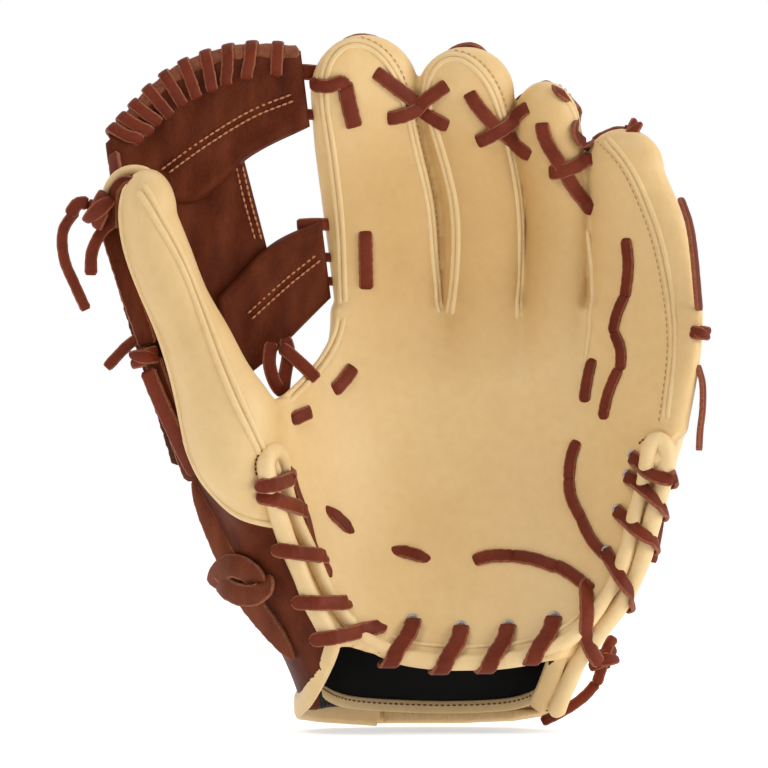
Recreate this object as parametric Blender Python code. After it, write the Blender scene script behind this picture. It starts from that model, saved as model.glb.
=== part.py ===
"""A right-hand thrower's infield baseball glove, worn on the left hand.

X runs from the thumb to the little finger, Y from the catching face to the back of the hand, and Z from the
wrist to the finger tips. The origin is the middle of the opening that the hand goes in through.
"""

import math

import bmesh
import bpy
import numpy as np
from mathutils import Matrix

# The catching face: a bowl that is deepest at the pocket, metres.
POCKET_X = 0.010
POCKET_Z = 0.165
SIDE_SPAN = 0.090
SIDE_POWER = 2.5
THUMB_RISE = 0.060
PINKY_RISE = 0.042
HEEL_RISE = 0.045
HEEL_SPAN = 0.150
FINGER_CURL = 0.022
FINGER_SPAN = 0.125
BOWL_FADE = 0.5
FADE_START = 0.130
FADE_SPAN = 0.100

# Layers of the palm, from the catching face inwards.
LEATHER = 0.003
LAYER_GAP = 0.001
PADDING = 0.005
LINING = 0.0015
GAP = 0.0005

# Heights.
HEEL_Z = 0.014
BACK_BOTTOM_Z = -0.003
KNUCKLE_Z = 0.165

# Rolled edges and lace.
ROLL_RADIUS = 0.0042
ROLL_OUT = 0.0085
LACE_RADIUS = 0.0013
LACE_CLEAR = 0.0005
LACE_STEP = 0.007
WRAP_RADIUS = ROLL_RADIUS + LACE_CLEAR + LACE_RADIUS
TAIL_RADIUS = 0.0024
STALL_WALL = 0.003

# The thumb's fold runs from the heel to the crotch, in front of the leather.
FOLD_HEEL = (-0.035, -0.060, 0.020)
FOLD_CROTCH = (-0.062, -0.046, 0.140)

# The web folds along the index finger's edge.
WEB_LOW = (-0.049, -0.004, 0.175)
WEB_HIGH = (-0.0605, -0.022, 0.270)
WEB_THUMB_Y = -0.035
WEB_REACH = 0.090
WEB_LEATHER = 0.0028
WEB_LACE_ABOVE = 0.0064
WEB_LACE_COIL = 0.0024
WEB_LACE_TURNS = 9

# How round the lace tubes are: six sides, and eight on the loose tails.
TUBE_RESOLUTION = 1
TAIL_RESOLUTION = 2

PARTS = "baseball_glove"


def clear_scene():
    for obj in list(bpy.data.objects):
        bpy.data.objects.remove(obj, do_unlink=True)
    collection = bpy.data.collections.new(PARTS)
    bpy.context.scene.collection.children.link(collection)
    return collection


COLLECTION = clear_scene()


def make_material(name, color, roughness):
    material = bpy.data.materials.new(name)
    material.use_nodes = True
    shader = material.node_tree.nodes["Principled BSDF"]
    shader.inputs["Base Color"].default_value = (*color, 1.0)
    shader.inputs["Roughness"].default_value = roughness
    shader.inputs["Metallic"].default_value = 0.0
    return material


CAMEL = ("camel", (0.76, 0.56, 0.32), 0.45)
BROWN = ("brown", (0.13, 0.03, 0.015), 0.5)
LACE = ("lace", (0.17, 0.03, 0.014), 0.55)
BLACK = ("black", (0.01, 0.01, 0.01), 0.7)
FELT = ("felt", (0.55, 0.52, 0.48), 0.95)
FLEECE = ("fleece", (0.6, 0.45, 0.28), 0.95)
PLASTIC = ("plastic", (0.8, 0.8, 0.78), 0.4)


def add_object(name, data, finish):
    """An object in the glove's collection with a material of its own."""
    obj = bpy.data.objects.new(name, data)
    label, color, roughness = finish
    data.materials.append(make_material(f"{name}_{label}", color, roughness))
    COLLECTION.objects.link(obj)
    return obj


def line_at(low, high, z):
    """The point at height z on the straight line through two points."""
    share = (z - low[2]) / (high[2] - low[2])
    return tuple(a + (b - a) * share for a, b in zip(low, high))


def ease(value):
    value = min(max(value, 0.0), 1.0)
    return value * value * (3 - 2 * value)


def station(z, stations):
    """A smooth value at height z through (height, value, ...) stations, as an array of the values."""
    heights = np.array([s[0] for s in stations])
    values = np.array([s[1:] for s in stations], float)
    slopes = np.gradient(values, heights, axis=0)
    i = int(np.clip(np.searchsorted(heights, z) - 1, 0, len(heights) - 2))
    span = heights[i + 1] - heights[i]
    t = min(max((z - heights[i]) / span, 0.0), 1.0)
    a = (1 + 2 * t) * (1 - t) ** 2
    b = t * (1 - t) ** 2
    c = t * t * (3 - 2 * t)
    d = t * t * (t - 1)
    return a * values[i] + b * span * slopes[i] + c * values[i + 1] + d * span * slopes[i + 1]


def smooth_path(points, step=0.005):
    """Points about a step apart on a smooth curve through the given ones."""
    knots = np.array(points, float)
    ends = np.vstack([2 * knots[0] - knots[1], knots, 2 * knots[-1] - knots[-2]])
    path = []
    for i in range(1, len(ends) - 2):
        a, b, c, d = ends[i - 1 : i + 3]
        count = max(1, round(float(np.linalg.norm(c - b)) / step))
        for t in np.arange(count) / count:
            path.append(0.5 * (2 * b + (c - a) * t + (2 * a - 5 * b + 4 * c - d) * t**2
                               + (3 * b - a - 3 * c + d) * t**3))
    path.append(knots[-1])
    return path


def front(x, z):
    """How far back the catching face lies at a place seen from the front."""
    out = x - POCKET_X
    rise = THUMB_RISE if out < 0 else PINKY_RISE
    bowl = rise * (abs(out) / SIDE_SPAN) ** SIDE_POWER
    bowl *= 1 - BOWL_FADE * ease((z - FADE_START) / FADE_SPAN)
    heel = HEEL_RISE * (max(0.0, POCKET_Z - z) / HEEL_SPAN) ** 2
    curl = FINGER_CURL * (max(0.0, z - POCKET_Z) / FINGER_SPAN) ** 2
    return -(bowl + heel + curl)


# The palm's side edges, inboard of the rolled edges: (height, x).
PALM_LEFT = [(0.014, -0.026), (0.022, -0.034), (0.060, -0.054), (0.100, -0.070), (0.130, -0.070),
             (0.146, -0.058), (0.165, -0.047)]
PALM_RIGHT = [(0.014, 0.050), (0.030, 0.066), (0.060, 0.078), (0.105, 0.090), (0.135, 0.100), (0.165, 0.105)]


def palm_left(z):
    return float(station(z, PALM_LEFT)[0])


def palm_right(z):
    return float(station(z, PALM_RIGHT)[0])


def fold_x(z):
    return line_at(FOLD_HEEL, FOLD_CROTCH, z)[0]


# The hand's side of the glove as hoops around the hand: (height, x, y) of each corner, from the thumb to the
# little finger.
THUMB_BULGE = [(-0.003, -0.058, -0.010), (0.034, -0.078, -0.016), (0.063, -0.094, -0.022),
               (0.104, -0.105, -0.026)]
THUMB_SHOULDER = [(-0.003, -0.042, 0.024), (0.063, -0.060, 0.020), (0.104, -0.072, 0.006),
                  (0.165, -0.048, 0.020)]
BACK_MIDDLE = [(-0.003, 0.000, 0.036), (0.060, 0.004, 0.042), (0.165, 0.012, 0.039)]
PINKY_SHOULDER = [(-0.003, 0.040, 0.022), (0.060, 0.062, 0.024), (0.165, 0.072, 0.018)]
PINKY_BULGE = [(-0.003, 0.054, -0.010), (0.060, 0.086, -0.012), (0.110, 0.103, -0.016),
               (0.165, 0.108, -0.022)]


HOOP_SAMPLES = 60
HOOP_STEP = 0.002
WRAP_REACH = 0.002


def hoop(z):
    """The outside of the back of the glove at height z, from the thumb's edge to the little finger's."""
    low = max(z, HEEL_Z)
    left = (palm_left(low) - 2 * ROLL_OUT, front(palm_left(low), low) + 2 * ROLL_RADIUS)
    right = (palm_right(low) + ROLL_RADIUS / 2, front(palm_right(low), low) + 3 * ROLL_RADIUS)
    corners = [left, station(z, THUMB_BULGE), station(z, THUMB_SHOULDER), station(z, BACK_MIDDLE),
               station(z, PINKY_SHOULDER), station(z, PINKY_BULGE), right]
    path = np.array(smooth_path([np.array([c[0], c[1]]) for c in corners], step=HOOP_STEP))
    along = np.concatenate([[0], np.cumsum(np.linalg.norm(np.diff(path, axis=0), axis=1))])
    even = np.linspace(0, along[-1], HOOP_SAMPLES)
    return np.stack([np.interp(even, along, path[:, k]) for k in (0, 1)], axis=1)


def inset(path, depth):
    """A hoop moved towards the hand by a depth."""
    along = np.gradient(path, axis=0)
    along /= np.linalg.norm(along, axis=1)[:, None]
    inward = np.stack([along[:, 1], -along[:, 0]], axis=1)
    return path + inward * depth


def slab(name, near, far, across, up, finish):
    """A closed sheet between two surfaces, each a function of a share across and a height."""
    shell = bmesh.new()
    sides = []
    for surface in (near, far):
        sides.append([[shell.verts.new(surface(s, z)) for s in across] for z in up])
    columns, rows = len(across), len(up)
    for index, side in enumerate(sides):
        for r in range(rows - 1):
            for c in range(columns - 1):
                ring = (side[r][c], side[r][c + 1], side[r + 1][c + 1], side[r + 1][c])
                shell.faces.new(ring if index == 0 else ring[::-1])
    rim = [(0, c) for c in range(columns)] + [(r, columns - 1) for r in range(1, rows)]
    rim += [(rows - 1, c) for c in range(columns - 2, -1, -1)] + [(r, 0) for r in range(rows - 2, 0, -1)]
    for (r, c), (q, d) in zip(rim, rim[1:] + rim[:1]):
        shell.faces.new((sides[0][q][d], sides[0][r][c], sides[1][r][c], sides[1][q][d]))
    bmesh.ops.recalc_face_normals(shell, faces=shell.faces)
    mesh = bpy.data.meshes.new(name)
    shell.to_mesh(mesh)
    shell.free()
    mesh.shade_smooth()
    return add_object(name, mesh, finish)


def palm_layer(name, left, right, low, high, start, thick, finish, columns=14, rows=11):
    """A layer of the palm between two side edges, a start depth behind the catching face."""

    def surface(depth):
        def place(s, z):
            x = left(z) + (right(z) - left(z)) * s
            return (x, front(x, z) + depth, z)

        return place

    across = np.linspace(0, 1, columns)
    up = np.linspace(low, high, rows)
    return slab(name, surface(start), surface(start + thick), across, up, finish)


def back_layer(name, first, last, low, high, start, thick, finish, columns=14, rows=9):
    """A layer of the back between two places on the hoops; first and last turn a hoop into a share of it."""

    def surface(depth):
        hoops = {}

        def place(s, z):
            if z not in hoops:
                path = hoop(z)
                hoops[z] = (inset(path, depth), first(path, z), last(path, z))
            path, a, b = hoops[z]
            at = (a + (b - a) * s) * (len(path) - 1)
            ticks = np.arange(len(path))
            return (np.interp(at, ticks, path[:, 0]), np.interp(at, ticks, path[:, 1]), z)

        return place

    across = np.linspace(0, 1, columns)
    up = np.linspace(low, high, rows)
    return slab(name, surface(start), surface(start + thick), across, up, finish)


def beside_fold(offset):
    """The share of a hoop at which it crosses the fold, plus an offset in x."""

    def share(path, z):
        half = len(path) // 2
        wanted = fold_x(z) + offset
        inner = path[len(path) // 6 : half + len(path) // 6, 0]
        crossing = int(np.argmax(inner > wanted)) + len(path) // 6
        x0, x1 = path[crossing - 1, 0], path[crossing, 0]
        return (crossing - 1 + (wanted - x0) / (x1 - x0)) / (len(path) - 1)

    return share


def whole(share):
    return lambda path, z: share


def stall(name, stations, tip_z, finish, shape=None, sides=16, levels=7):
    """A finger stall, a cup open at its base: stations hold (height, middle x, half width, half depth)."""
    base, shoulder = stations[0][0], stations[-1][0]
    dome = [math.radians(a) for a in (25, 50, 72)]
    place = shape or (lambda x, y, z: (x, front(x, z) + y, z))

    def ring(bm, z, inner, scale):
        middle, wide, deep = station(min(z, shoulder), stations)
        cut = inner * STALL_WALL
        points = []
        for i in range(sides):
            turn = 2 * math.pi * i / sides
            x = middle + (wide - cut) * scale * math.cos(turn)
            y = deep + (deep - cut) * scale * math.sin(turn)
            points.append(bm.verts.new(place(x, y, z)))
        return points

    cup = bmesh.new()
    rings = []
    for inner in (0, 1):
        top = tip_z - inner * STALL_WALL
        wall = [ring(cup, z, inner, 1.0) for z in np.linspace(base, shoulder, levels)]
        cap = [ring(cup, shoulder + (top - shoulder) * math.sin(a), inner, math.cos(a)) for a in dome]
        middle, _, deep = station(shoulder, stations)
        rings.append((wall + cap, cup.verts.new(place(middle, deep, top))))
    for stack, pole in rings:
        for low, high in zip(stack, stack[1:]):
            for i in range(sides):
                j = (i + 1) % sides
                cup.faces.new((low[i], low[j], high[j], high[i]))
        for i in range(sides):
            cup.faces.new((stack[-1][i], stack[-1][(i + 1) % sides], pole))
    for i in range(sides):
        j = (i + 1) % sides
        cup.faces.new((rings[0][0][0][i], rings[1][0][0][i], rings[1][0][0][j], rings[0][0][0][j]))
    bmesh.ops.recalc_face_normals(cup, faces=cup.faces)
    mesh = bpy.data.meshes.new(name)
    cup.to_mesh(mesh)
    cup.free()
    mesh.shade_smooth()
    return add_object(name, mesh, finish)


def tube(name, points, radius, finish, resolution=TUBE_RESOLUTION):
    """A round tube with closed ends along the points."""
    data = bpy.data.curves.new(name, "CURVE")
    data.dimensions = "3D"
    data.bevel_depth = radius
    data.bevel_resolution = resolution
    data.use_fill_caps = True
    spline = data.splines.new("POLY")
    spline.points.add(len(points) - 1)
    for spot, point in zip(spline.points, points):
        spot.co = (*point, 1.0)
    return add_object(name, data, finish)


def wrap(path, radius, turns, per_turn=8):
    """A lace's path round and round a rolled edge."""
    path = np.array(path)
    along = np.concatenate([[0], np.cumsum(np.linalg.norm(np.diff(path, axis=0), axis=1))])
    spots = []
    for k in range(round(turns * per_turn) + 1):
        at = along[-1] * k / (turns * per_turn)
        point = np.array([np.interp(at, along, path[:, i]) for i in range(3)])
        ahead = np.array([np.interp(at + WRAP_REACH, along, path[:, i]) for i in range(3)])
        behind = np.array([np.interp(at - WRAP_REACH, along, path[:, i]) for i in range(3)])
        forward = (ahead - behind) / np.linalg.norm(ahead - behind)
        side = np.cross(forward, (0, 1, 0))
        side /= np.linalg.norm(side)
        up = np.cross(side, forward)
        turn = 2 * math.pi * k / per_turn
        spots.append(point + radius * (math.cos(turn) * side + math.sin(turn) * up))
    return spots


def on_face(x, z, ahead):
    """A point a distance in front of the catching face."""
    return (x, front(x, z) - ahead, z)


# --- the palm -------------------------------------------------------------------------------------


def right_of_fold(offset):
    return lambda z: max(palm_left(z), fold_x(z) + offset)


def left_of_fold(offset):
    return lambda z: fold_x(z) - offset


def inboard(edge, margin):
    return lambda z: edge(z) + margin


def pads_meet(z):
    return PADS_MEET_X


FOLD_GAP = 0.0008
PADS_MEET_X = 0.018
PAD_GAP = 0.002
PAD_START = LEATHER + LAYER_GAP
LINER_START = PAD_START + PADDING + LAYER_GAP
THUMB_SHEET_BOTTOM = 0.044
THUMB_SHEET_TOP = 0.104
# The heights that each inner layer spans, lowest and highest.
PALM_PAD_Z = (0.022, 0.120)
PINKY_PAD_Z = (0.026, 0.120)
THUMB_PAD_Z = (0.056, 0.100)
PALM_LINER_Z = (0.018, 0.160)
PINKY_STAY_Z = (0.036, 0.150)
# How far each inner layer stays inboard of the fold and of the palm's edge.
PALM_PAD_INSET = 0.008
PINKY_PAD_INSET = 0.016
THUMB_PAD_INSET = 0.0015
LINER_FOLD_INSET = 0.004
LINER_EDGE_INSET = 0.012
PINKY_STAY_INSETS = (0.013, 0.003)


def make_palm():
    by_fold = right_of_fold(FOLD_GAP)
    palm_layer("palm_shell", by_fold, palm_right, HEEL_Z, KNUCKLE_Z, 0, LEATHER, CAMEL, columns=18, rows=14)
    palm_layer("palm_pad", inboard(by_fold, PALM_PAD_INSET), pads_meet, *PALM_PAD_Z, PAD_START, PADDING, FELT,
               columns=7, rows=8)
    palm_layer("pinky_heel_pad", inboard(pads_meet, PAD_GAP), inboard(palm_right, -PINKY_PAD_INSET),
               *PINKY_PAD_Z, PAD_START, PADDING, FELT, columns=7, rows=8)
    palm_layer("palm_liner", inboard(by_fold, LINER_FOLD_INSET), inboard(palm_right, -LINER_EDGE_INSET),
               *PALM_LINER_Z, LINER_START, LINING, BLACK, columns=12, rows=9)
    stay_left, stay_right = (inboard(palm_right, -margin) for margin in PINKY_STAY_INSETS)
    palm_layer("pinky_stay", stay_left, stay_right, *PINKY_STAY_Z, PAD_START, LINING, PLASTIC, columns=4,
               rows=8)
    thumb_edge = left_of_fold(FOLD_GAP)
    palm_layer("thumb_palm_shell", palm_left, thumb_edge, THUMB_SHEET_BOTTOM, THUMB_SHEET_TOP, 0, LEATHER,
               CAMEL, columns=5, rows=10)
    palm_layer("thumb_heel_pad", inboard(palm_left, THUMB_PAD_INSET), inboard(thumb_edge, -THUMB_PAD_INSET),
               *THUMB_PAD_Z, PAD_START, PADDING, FELT, columns=4, rows=7)


BACK_FOLD_GAP = 0.001
BACK_LINER_GAP = 0.0025
BACK_LINER_DEPTH = LEATHER + BACK_LINER_GAP
BACK_LINER_FOLD_INSET = 0.004
BACK_LINER_END = 0.88
BACK_LINER_Z = (0.002, 0.158)
# The shares of a hoop between which the thumb's stay lies.
THUMB_STAY_SHARES = (0.10, 0.22)
THUMB_STAY_Z = (0.020, 0.098)


def make_back():
    back_layer("back_panel", beside_fold(BACK_FOLD_GAP), whole(1.0), BACK_BOTTOM_Z, KNUCKLE_Z, 0, LEATHER,
               CAMEL, columns=18, rows=12)
    back_layer("back_liner", beside_fold(BACK_LINER_FOLD_INSET), whole(BACK_LINER_END), *BACK_LINER_Z,
               BACK_LINER_DEPTH, LINING, BLACK, columns=14, rows=9)
    back_layer("thumb_back_panel", whole(0.0), beside_fold(-BACK_FOLD_GAP), BACK_BOTTOM_Z, THUMB_SHEET_TOP, 0,
               LEATHER, BROWN, columns=12, rows=9)
    stay_first, stay_last = (whole(share) for share in THUMB_STAY_SHARES)
    back_layer("thumb_stay", stay_first, stay_last, *THUMB_STAY_Z, LEATHER + LAYER_GAP, LINING, PLASTIC,
               columns=5, rows=7)


# Each stall: (height, middle x, half width, half depth).
INDEX = [(0.166, -0.0255, 0.0215, 0.015), (0.208, -0.0295, 0.0220, 0.015), (0.244, -0.0345, 0.0210, 0.0145),
         (0.272, -0.0370, 0.0200, 0.013)]
MIDDLE = [(0.166, 0.0155, 0.0165, 0.015), (0.208, 0.0195, 0.0145, 0.015), (0.240, 0.0135, 0.0150, 0.0145),
          (0.268, 0.0075, 0.0165, 0.013)]
RING = [(0.166, 0.0475, 0.0140, 0.015), (0.205, 0.0495, 0.0140, 0.015), (0.240, 0.0440, 0.0140, 0.0140),
        (0.256, 0.0420, 0.0130, 0.013)]
PINKY = [(0.166, 0.0845, 0.0215, 0.014), (0.200, 0.0850, 0.0200, 0.014), (0.232, 0.0775, 0.0150, 0.013)]
THUMB = [(0.106, -0.0940, 0.0170, 0.022), (0.130, -0.0970, 0.0190, 0.023), (0.153, -0.1060, 0.0165, 0.022),
         (0.178, -0.1160, 0.0155, 0.020), (0.200, -0.1250, 0.0140, 0.018), (0.214, -0.1290, 0.0120, 0.016)]
THUMB_FRONT_Y = -0.086
# The heights of the stalls' tips.
INDEX_TIP_Z = 0.291
MIDDLE_TIP_Z = 0.286
RING_TIP_Z = 0.271
PINKY_TIP_Z = 0.250
THUMB_TIP_Z = 0.231


def make_stalls():
    stall("index_stall", INDEX, INDEX_TIP_Z, CAMEL)
    stall("middle_stall", MIDDLE, MIDDLE_TIP_Z, CAMEL)
    stall("ring_stall", RING, RING_TIP_Z, CAMEL)
    stall("pinky_stall", PINKY, PINKY_TIP_Z, CAMEL)
    stall("thumb_stall", THUMB, THUMB_TIP_Z, CAMEL, shape=lambda x, y, z: (x, THUMB_FRONT_Y + y, z))


# --- the web --------------------------------------------------------------------------------------

# Each bar's lower and upper edge: (share from the index finger to the thumb, height).
TOP_BAR_LOW = [(0.0, 0.251), (0.30, 0.238), (0.62, 0.217), (1.0, 0.234)]
TOP_BAR_HIGH = [(0.0, 0.284), (0.30, 0.284), (0.62, 0.274), (1.0, 0.243)]
LOWER_BAR_LOW = [(0.0, 0.176), (0.40, 0.145), (0.55, 0.136)]
LOWER_BAR_HIGH = [(0.0, 0.210), (0.25, 0.200), (0.55, 0.176)]
CENTRE_BAR_LOW = [(0.33, 0.160), (0.62, 0.160)]
CENTRE_BAR_HIGH = [(0.33, 0.246), (0.62, 0.236)]
WEB_LACE_SHARES = (0.08, 0.90)
WEB_LACE_POINTS = 24
# The web's sheet starts this far outboard of its fold.
WEB_EDGE_GAP = 0.001


def web_place(share, z, depth):
    """A point of the web's sheet, at a share of the way from the index finger to the thumb."""
    x, y, _ = line_at(WEB_LOW, WEB_HIGH, z)
    x -= WEB_EDGE_GAP + share * WEB_REACH
    return (x, y + (WEB_THUMB_Y - y) * share + depth, z)


def web_bar(name, low, high, depth, columns=10, rows=4):
    def surface(extra):
        def place(share, climb):
            bottom = float(station(share, low)[0])
            top = float(station(share, high)[0])
            return web_place(share, bottom + (top - bottom) * climb, depth + extra)

        return place

    across = np.linspace(low[0][0], low[-1][0], columns)
    slab(name, surface(0), surface(WEB_LEATHER), across, np.linspace(0, 1, rows), BROWN)


def make_web():
    web_bar("web_top_bar", TOP_BAR_LOW, TOP_BAR_HIGH, 0.0)
    web_bar("web_lower_bar", LOWER_BAR_LOW, LOWER_BAR_HIGH, 0.0)
    web_bar("web_centre_bar", CENTRE_BAR_LOW, CENTRE_BAR_HIGH, WEB_LEATHER + LAYER_GAP, columns=5, rows=8)
    shares = np.linspace(*WEB_LACE_SHARES, WEB_LACE_POINTS)
    edge = []
    for share in shares:
        top = float(station(share, TOP_BAR_HIGH)[0])
        edge.append(web_place(share, top + WEB_LACE_ABOVE, WEB_LEATHER / 2))
    lace = wrap(edge, WEB_LACE_COIL, WEB_LACE_TURNS, per_turn=6)
    tube("web_top_lace", lace, LACE_RADIUS, LACE)


# --- the rolled edges and their lace --------------------------------------------------------------


def roll_spot(x, z, out_x, out_z):
    return (x + out_x * ROLL_OUT, front(x, z) + LEATHER / 2, z + out_z * ROLL_OUT)


# Each rolled edge follows the palm's edge through these places, wound with this many turns of lace.
THUMB_ROLL_Z = (0.100, 0.080, 0.060, 0.040, 0.026)
HEEL_ROLL_X = (-0.024, 0.000, 0.024)
HEEL_ROLL_END = (0.046, HEEL_Z)
PINKY_ROLL_START = (0.062, 0.024)
PINKY_ROLL_Z = (0.042, 0.060, 0.080, 0.100)
ROLL_TURNS = {"thumb": 5, "centre": 4.5, "pinky": 5}


def make_rolls():
    thumb = [roll_spot(palm_left(z), z, -1, -0.2) for z in THUMB_ROLL_Z]
    heel = [roll_spot(x, HEEL_Z, 0, -1) for x in HEEL_ROLL_X]
    heel.append(roll_spot(*HEEL_ROLL_END, 0.3, -1))
    pinky = [roll_spot(*PINKY_ROLL_START, 0.9, -0.6)]
    pinky += [roll_spot(palm_right(z), z, 1, -0.2) for z in PINKY_ROLL_Z]
    for name, spots in (("thumb", thumb), ("centre", heel), ("pinky", pinky)):
        turns = ROLL_TURNS[name]
        path = smooth_path(spots, step=LACE_STEP)
        tube(f"{name}_heel_roll", path, ROLL_RADIUS, CAMEL, resolution=2)
        tube(f"{name}_heel_lace", wrap(path, WRAP_RADIUS, turns), LACE_RADIUS, LACE)


# --- lace through the fingers and the palm --------------------------------------------------------

# Each crossing lace: its four ends seen from the front, (x, height).
FINGER_LACES = {
    "index_middle_lace": ((-0.031, 0.274), (0.002, 0.251), (-0.001, 0.266), (-0.026, 0.255)),
    "middle_ring_lace": ((0.011, 0.266), (0.039, 0.238), (0.038, 0.257), (0.014, 0.245)),
    "ring_pinky_lace": ((0.043, 0.253), (0.066, 0.214), (0.065, 0.238), (0.046, 0.229)),
}
PALM_LACES = {
    "palm_lace": ((-0.050, 0.082), (-0.037, 0.070), (-0.022, 0.066), (-0.006, 0.061), (0.012, 0.061),
                  (0.030, 0.062), (0.050, 0.058), (0.062, 0.049), (0.066, 0.030)),
    "pinky_palm_lace": ((0.076, 0.078), (0.069, 0.120), (0.076, 0.148), (0.079, 0.160)),
    "crotch_lace": ((-0.058, 0.124), (-0.045, 0.139), (-0.036, 0.150)),
}
FACE_CLEAR = 0.0022
CROSS_OVER = 0.0036
LACE_LOOP_OUT = 0.004


def make_laces():
    for name, (a, b, c, d) in FINGER_LACES.items():
        under = [on_face(x, z, FACE_CLEAR) for x, z in (a, b)]
        over = [on_face(x, z, FACE_CLEAR + CROSS_OVER) for x, z in (c, d)]
        bend = on_face((b[0] + c[0]) / 2 + LACE_LOOP_OUT, (b[1] + c[1]) / 2, FACE_CLEAR + CROSS_OVER / 2)
        rise = on_face((a[0] + b[0]) / 2, (a[1] + b[1]) / 2, FACE_CLEAR)
        tube(name, smooth_path([under[0], rise, under[1], bend, *over]), LACE_RADIUS, LACE)
    for name, spots in PALM_LACES.items():
        path = smooth_path([on_face(x, z, FACE_CLEAR) for x, z in spots], step=LACE_STEP)
        tube(name, path, LACE_RADIUS, LACE)


# --- knots, tails, loops and strap ----------------------------------------------------------------


def knot(name, middle, size, finish=LACE):
    """A flat overhand knot, drawn as a rounded lump that its lace ends come out of."""
    lump = bmesh.new()
    bmesh.ops.create_uvsphere(lump, u_segments=12, v_segments=8, radius=1.0)
    mesh = bpy.data.meshes.new(name)
    bmesh.ops.scale(lump, vec=size, verts=lump.verts)
    lump.to_mesh(mesh)
    lump.free()
    mesh.shade_smooth()
    obj = add_object(name, mesh, finish)
    obj.location = middle
    return obj


# The loose ends of lace: each leaves its knot and hangs.
THUMB_TIP_TAIL = [(-0.1600, -0.062, 0.213), (-0.1655, -0.061, 0.204), (-0.1650, -0.060, 0.192),
                  (-0.1605, -0.060, 0.181), (-0.1555, -0.060, 0.170)]
PINKY_TAIL = [(0.1100, -0.040, 0.146), (0.1120, -0.041, 0.138), (0.1120, -0.041, 0.127),
              (0.1110, -0.040, 0.118), (0.1105, -0.040, 0.109)]
HEEL_TAIL = [(0.0670, 0.000, 0.006), (0.0620, -0.002, 0.0005), (0.0560, -0.003, -0.004),
             (0.0490, -0.003, -0.008), (0.0430, -0.002, -0.0110)]


# Each knot's middle and its half size along each axis.
KNOTS = {
    "thumb_tip_knot": ((-0.1500, -0.0620, 0.2140), (0.0080, 0.0050, 0.0070)),
    "thumb_side_knot": ((-0.1305, -0.0585, 0.1500), (0.0050, 0.0045, 0.0080)),
    "wrist_knot": ((-0.0880, -0.0500, 0.0520), (0.0100, 0.0050, 0.0100)),
    "pinky_tip_knot": ((0.0845, -0.0120, 0.2550), (0.0070, 0.0040, 0.0045)),
    "pinky_side_knot": ((0.1115, -0.0400, 0.1560), (0.0035, 0.0050, 0.0085)),
    "heel_knot": ((0.0690, 0.0000, 0.0160), (0.0055, 0.0050, 0.0090)),
}


def make_knots():
    for name, (middle, size) in KNOTS.items():
        knot(name, middle, size)
    for name, spots in (("thumb_tip_tail", THUMB_TIP_TAIL), ("pinky_side_tail", PINKY_TAIL),
                        ("heel_tail", HEEL_TAIL)):
        tube(name, smooth_path(spots), TAIL_RADIUS, LACE, resolution=TAIL_RESOLUTION)


LOOP_RADIUS = 0.0014
LOOP_POINTS = 17
LOOP_OPEN = 0.02
THUMB_LOOP_Z = 0.114
THUMB_LOOP_SIZE = (0.010, 0.014)
PINKY_LOOP_Z = 0.178
PINKY_LOOP_SIZE = (0.013, 0.0075)


def make_finger_loops():
    """The lace loops inside the glove that the thumb and the little finger go through."""
    turns = 2 * math.pi * np.linspace(LOOP_OPEN, 1 - LOOP_OPEN, LOOP_POINTS)
    middle, _, deep = station(THUMB_LOOP_Z, THUMB)
    wide, high = THUMB_LOOP_SIZE
    ring = []
    for turn in turns:
        x = middle + wide * math.cos(turn)
        ring.append((x, THUMB_FRONT_Y + deep + high * math.sin(turn), THUMB_LOOP_Z))
    tube("thumb_loop", ring, LOOP_RADIUS, LACE)
    middle, _, deep = station(PINKY_LOOP_Z, PINKY)
    wide, high = PINKY_LOOP_SIZE
    ring = []
    for turn in turns:
        x = middle + wide * math.cos(turn)
        ring.append((x, front(x, PINKY_LOOP_Z) + deep + high * math.sin(turn), PINKY_LOOP_Z))
    tube("pinky_loop", ring, LOOP_RADIUS, LACE)


# The strip of leather down the back of the thumb, outboard of its stall: (height, inner x).
STRIP = [(0.102, -0.116), (0.130, -0.119), (0.160, -0.127), (0.185, -0.137), (0.203, -0.142)]
STRIP_WIDTH = 0.008
STRIP_Y = -0.052


def make_thumb_strip():
    def surface(depth):
        def place(s, z):
            x = float(station(z, STRIP)[0])
            return (x - STRIP_WIDTH * s, STRIP_Y + depth, z)

        return place

    up = np.linspace(STRIP[0][0], STRIP[-1][0], 9)
    slab("thumb_back_strip", surface(0), surface(LEATHER), np.linspace(0, 1, 3), up, BROWN)


# The strap runs from beside the thumb's fold to its fixed end, at this share of the way round the back.
STRAP_FROM_FOLD = 0.004
STRAP_FIXED_END = 0.78
STRAP_LOW = -0.014
STRAP_HIGH = 0.016
STRAP_THICK = 0.0035
STRAP_CLEAR = 0.0012
FLEECE_THICK = 0.004
FLEECE_MARGIN = 0.001
FLEECE_SHORTER = 0.02
# The end of the strap that stays with the glove, where it swings from.
STRAP_HINGE = (0.0535, 0.0130, 0.0000)


def make_strap():
    """The wrist strap lies over the back panel's lower edge, with fleece under its free lower edge."""
    back_layer("wrist_strap", beside_fold(STRAP_FROM_FOLD), whole(STRAP_FIXED_END), STRAP_LOW, STRAP_HIGH,
               -STRAP_CLEAR - STRAP_THICK, STRAP_THICK, CAMEL, columns=14, rows=4)
    back_layer("strap_fleece", beside_fold(STRAP_FROM_FOLD + FLEECE_MARGIN),
               whole(STRAP_FIXED_END - FLEECE_SHORTER), STRAP_LOW + FLEECE_MARGIN,
               BACK_BOTTOM_Z - FLEECE_MARGIN, -STRAP_CLEAR + GAP, FLEECE_THICK, FLEECE, columns=14, rows=3)


# --- the joints -----------------------------------------------------------------------------------

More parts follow.
